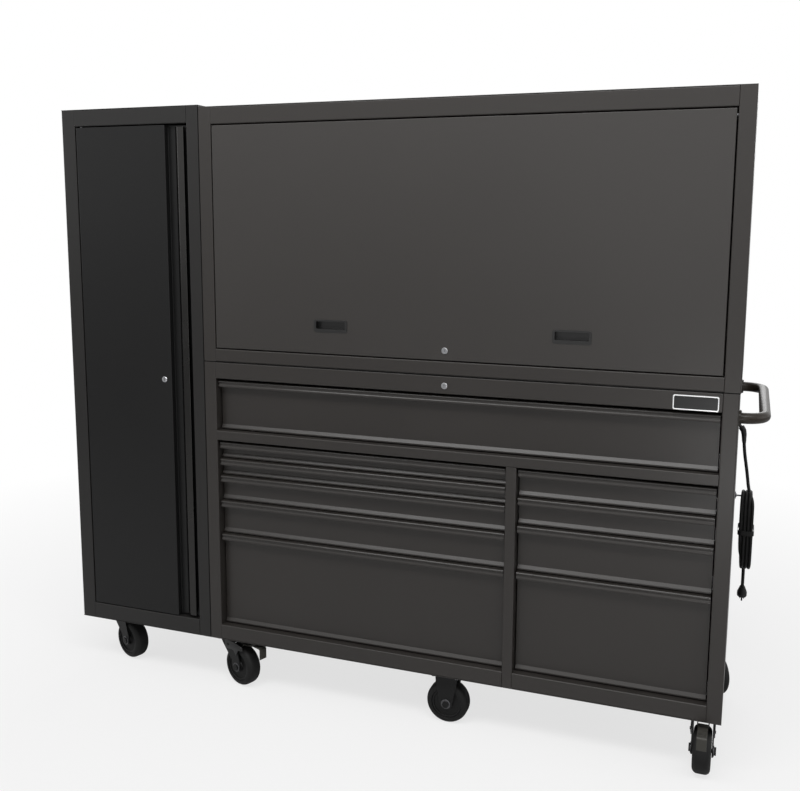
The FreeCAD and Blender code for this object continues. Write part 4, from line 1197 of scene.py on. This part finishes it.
class TOOLSTORAGE_OT_stage(bpy.types.Operator):
    """Set the floor, backdrop, soft lamps and camera"""
    bl_idname = "toolstorage.stage"
    bl_label = "Stage"

    def execute(self, context):
        self.world()
        self.floor()
        self.lamps()
        self.camera()
        return {"FINISHED"}

    def world(self):
        world = bpy.data.worlds.new("studio")
        bpy.context.scene.world = world
        world.use_nodes = True
        b = Board(world.node_tree)
        sky = world.node_tree.nodes["Background"]
        path = b.add("ShaderNodeLightPath")
        seen = b.sum("MAXIMUM", path.outputs["Is Camera Ray"],
                     path.outputs["Is Glossy Ray"])
        seen = b.sum("MAXIMUM", seen, path.outputs["Is Transmission Ray"])
        level = b.span(seen, 0.0, 1.0, FILL_LEVEL, 1.0)
        b.feed(sky.inputs["Strength"], level)
        sky.inputs["Color"].default_value = (1, 1, 1, 1)

    def floor(self):
        clear_selection()
        bpy.ops.mesh.primitive_plane_add(size=40, location=(0, 0, 0))
        ground = active()
        ground.name = "studio_floor"
        material, b, shader = new_material("studio floor")
        shader.inputs["Base Color"].default_value = tuple(finish_of().floor) + (1,)
        shader.inputs["Roughness"].default_value = 0.9
        glow = b.add("ShaderNodeEmission", Strength=1.0)
        glow.inputs["Color"].default_value = (1, 1, 1, 1)
        path = b.add("ShaderNodeLightPath")
        mix = b.add("ShaderNodeMixShader")
        place = object_place(b)
        away = b.add("ShaderNodeVectorMath", {"operation": "LENGTH"})
        b.feed(away.inputs[0], place)
        glow_share = b.span(away.outputs["Value"], 1.2, 3.2, 0.72, 1.0)
        amount = b.sum("MULTIPLY", path.outputs["Is Camera Ray"], glow_share)
        b.feed(mix.inputs[0], amount)
        b.feed(mix.inputs[1], shader.outputs[0])
        b.feed(mix.inputs[2], glow.outputs[0])
        out = material.node_tree.nodes["Material Output"]
        b.feed(out.inputs["Surface"], mix.outputs[0])
        ground.data.materials.append(material)

    def lamps(self):
        for row in LAMPS:
            self.lamp(*row)

    def lamp(self, name, place, aim, size, power):
        data = bpy.data.lights.new(name, "AREA")
        data.shape = "RECTANGLE"
        data.size, data.size_y = size
        data.energy = power
        lamp = bpy.data.objects.new(name, data)
        bpy.context.scene.collection.objects.link(lamp)
        lamp.location = place
        look = Vector(aim) - Vector(place)
        lamp.rotation_euler = look.to_track_quat("-Z", "Y").to_euler()

    def camera(self):
        data = bpy.data.cameras.new("view")
        data.sensor_fit = "HORIZONTAL"
        data.sensor_width = 36
        data.lens = FOCUS_PX / FRAME_WIDE * data.sensor_width
        data.shift_y = (HORIZON_PX - FRAME_TALL / 2) / FRAME_WIDE
        data.clip_end = 60
        camera = bpy.data.objects.new("view", data)
        bpy.context.scene.collection.objects.link(camera)
        axes = (Vector(VIEW_RIGHT), -Vector(VIEW_DOWN), -Vector(VIEW_AHEAD))
        turn = Matrix(axes).transposed().to_4x4()
        camera.matrix_world = Matrix.Translation(at(*VIEW_AT)) @ turn
        bpy.context.scene.camera = camera


class TOOLSTORAGE_PT_panel(bpy.types.Panel):
    """Lists the pieces and the finishes"""
    bl_idname = "TOOLSTORAGE_PT_panel"
    bl_label = "Tool storage"
    bl_space_type = "VIEW_3D"
    bl_region_type = "UI"
    bl_category = "Tool storage"

    def draw(self, context):
        for step in STEPS:
            self.layout.operator(step.bl_idname)
        for settings in (finish_of(), sizes()):
            for key in settings.__annotations__:
                self.layout.prop(settings, key)


STEPS = (TOOLSTORAGE_OT_materials, TOOLSTORAGE_OT_stage, TOOLSTORAGE_OT_lead,
         TOOLSTORAGE_OT_bodies, TOOLSTORAGE_OT_drawers, TOOLSTORAGE_OT_doors,
         TOOLSTORAGE_OT_badge, TOOLSTORAGE_OT_handle, TOOLSTORAGE_OT_casters)
CLASSES = (ToolStorageFinish, ToolStorageSizes) + STEPS + (TOOLSTORAGE_PT_panel,)


def register():
    for cls in CLASSES:
        bpy.utils.register_class(cls)
    scene = bpy.types.Scene
    scene.tool_storage_finish = bpy.props.PointerProperty(type=ToolStorageFinish)
    scene.tool_storage_sizes = bpy.props.PointerProperty(type=ToolStorageSizes)


def unregister():
    del bpy.types.Scene.tool_storage_finish
    del bpy.types.Scene.tool_storage_sizes
    for cls in reversed(CLASSES):
        bpy.utils.unregister_class(cls)


def main():
    register()
    bpy.context.scene.view_settings.view_transform = "Standard"
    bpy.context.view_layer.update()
    for step in STEPS:
        area, name = step.bl_idname.split(".")
        getattr(getattr(bpy.ops, area), name)()
    bpy.context.view_layer.update()


if __name__ == "__main__":
    main()
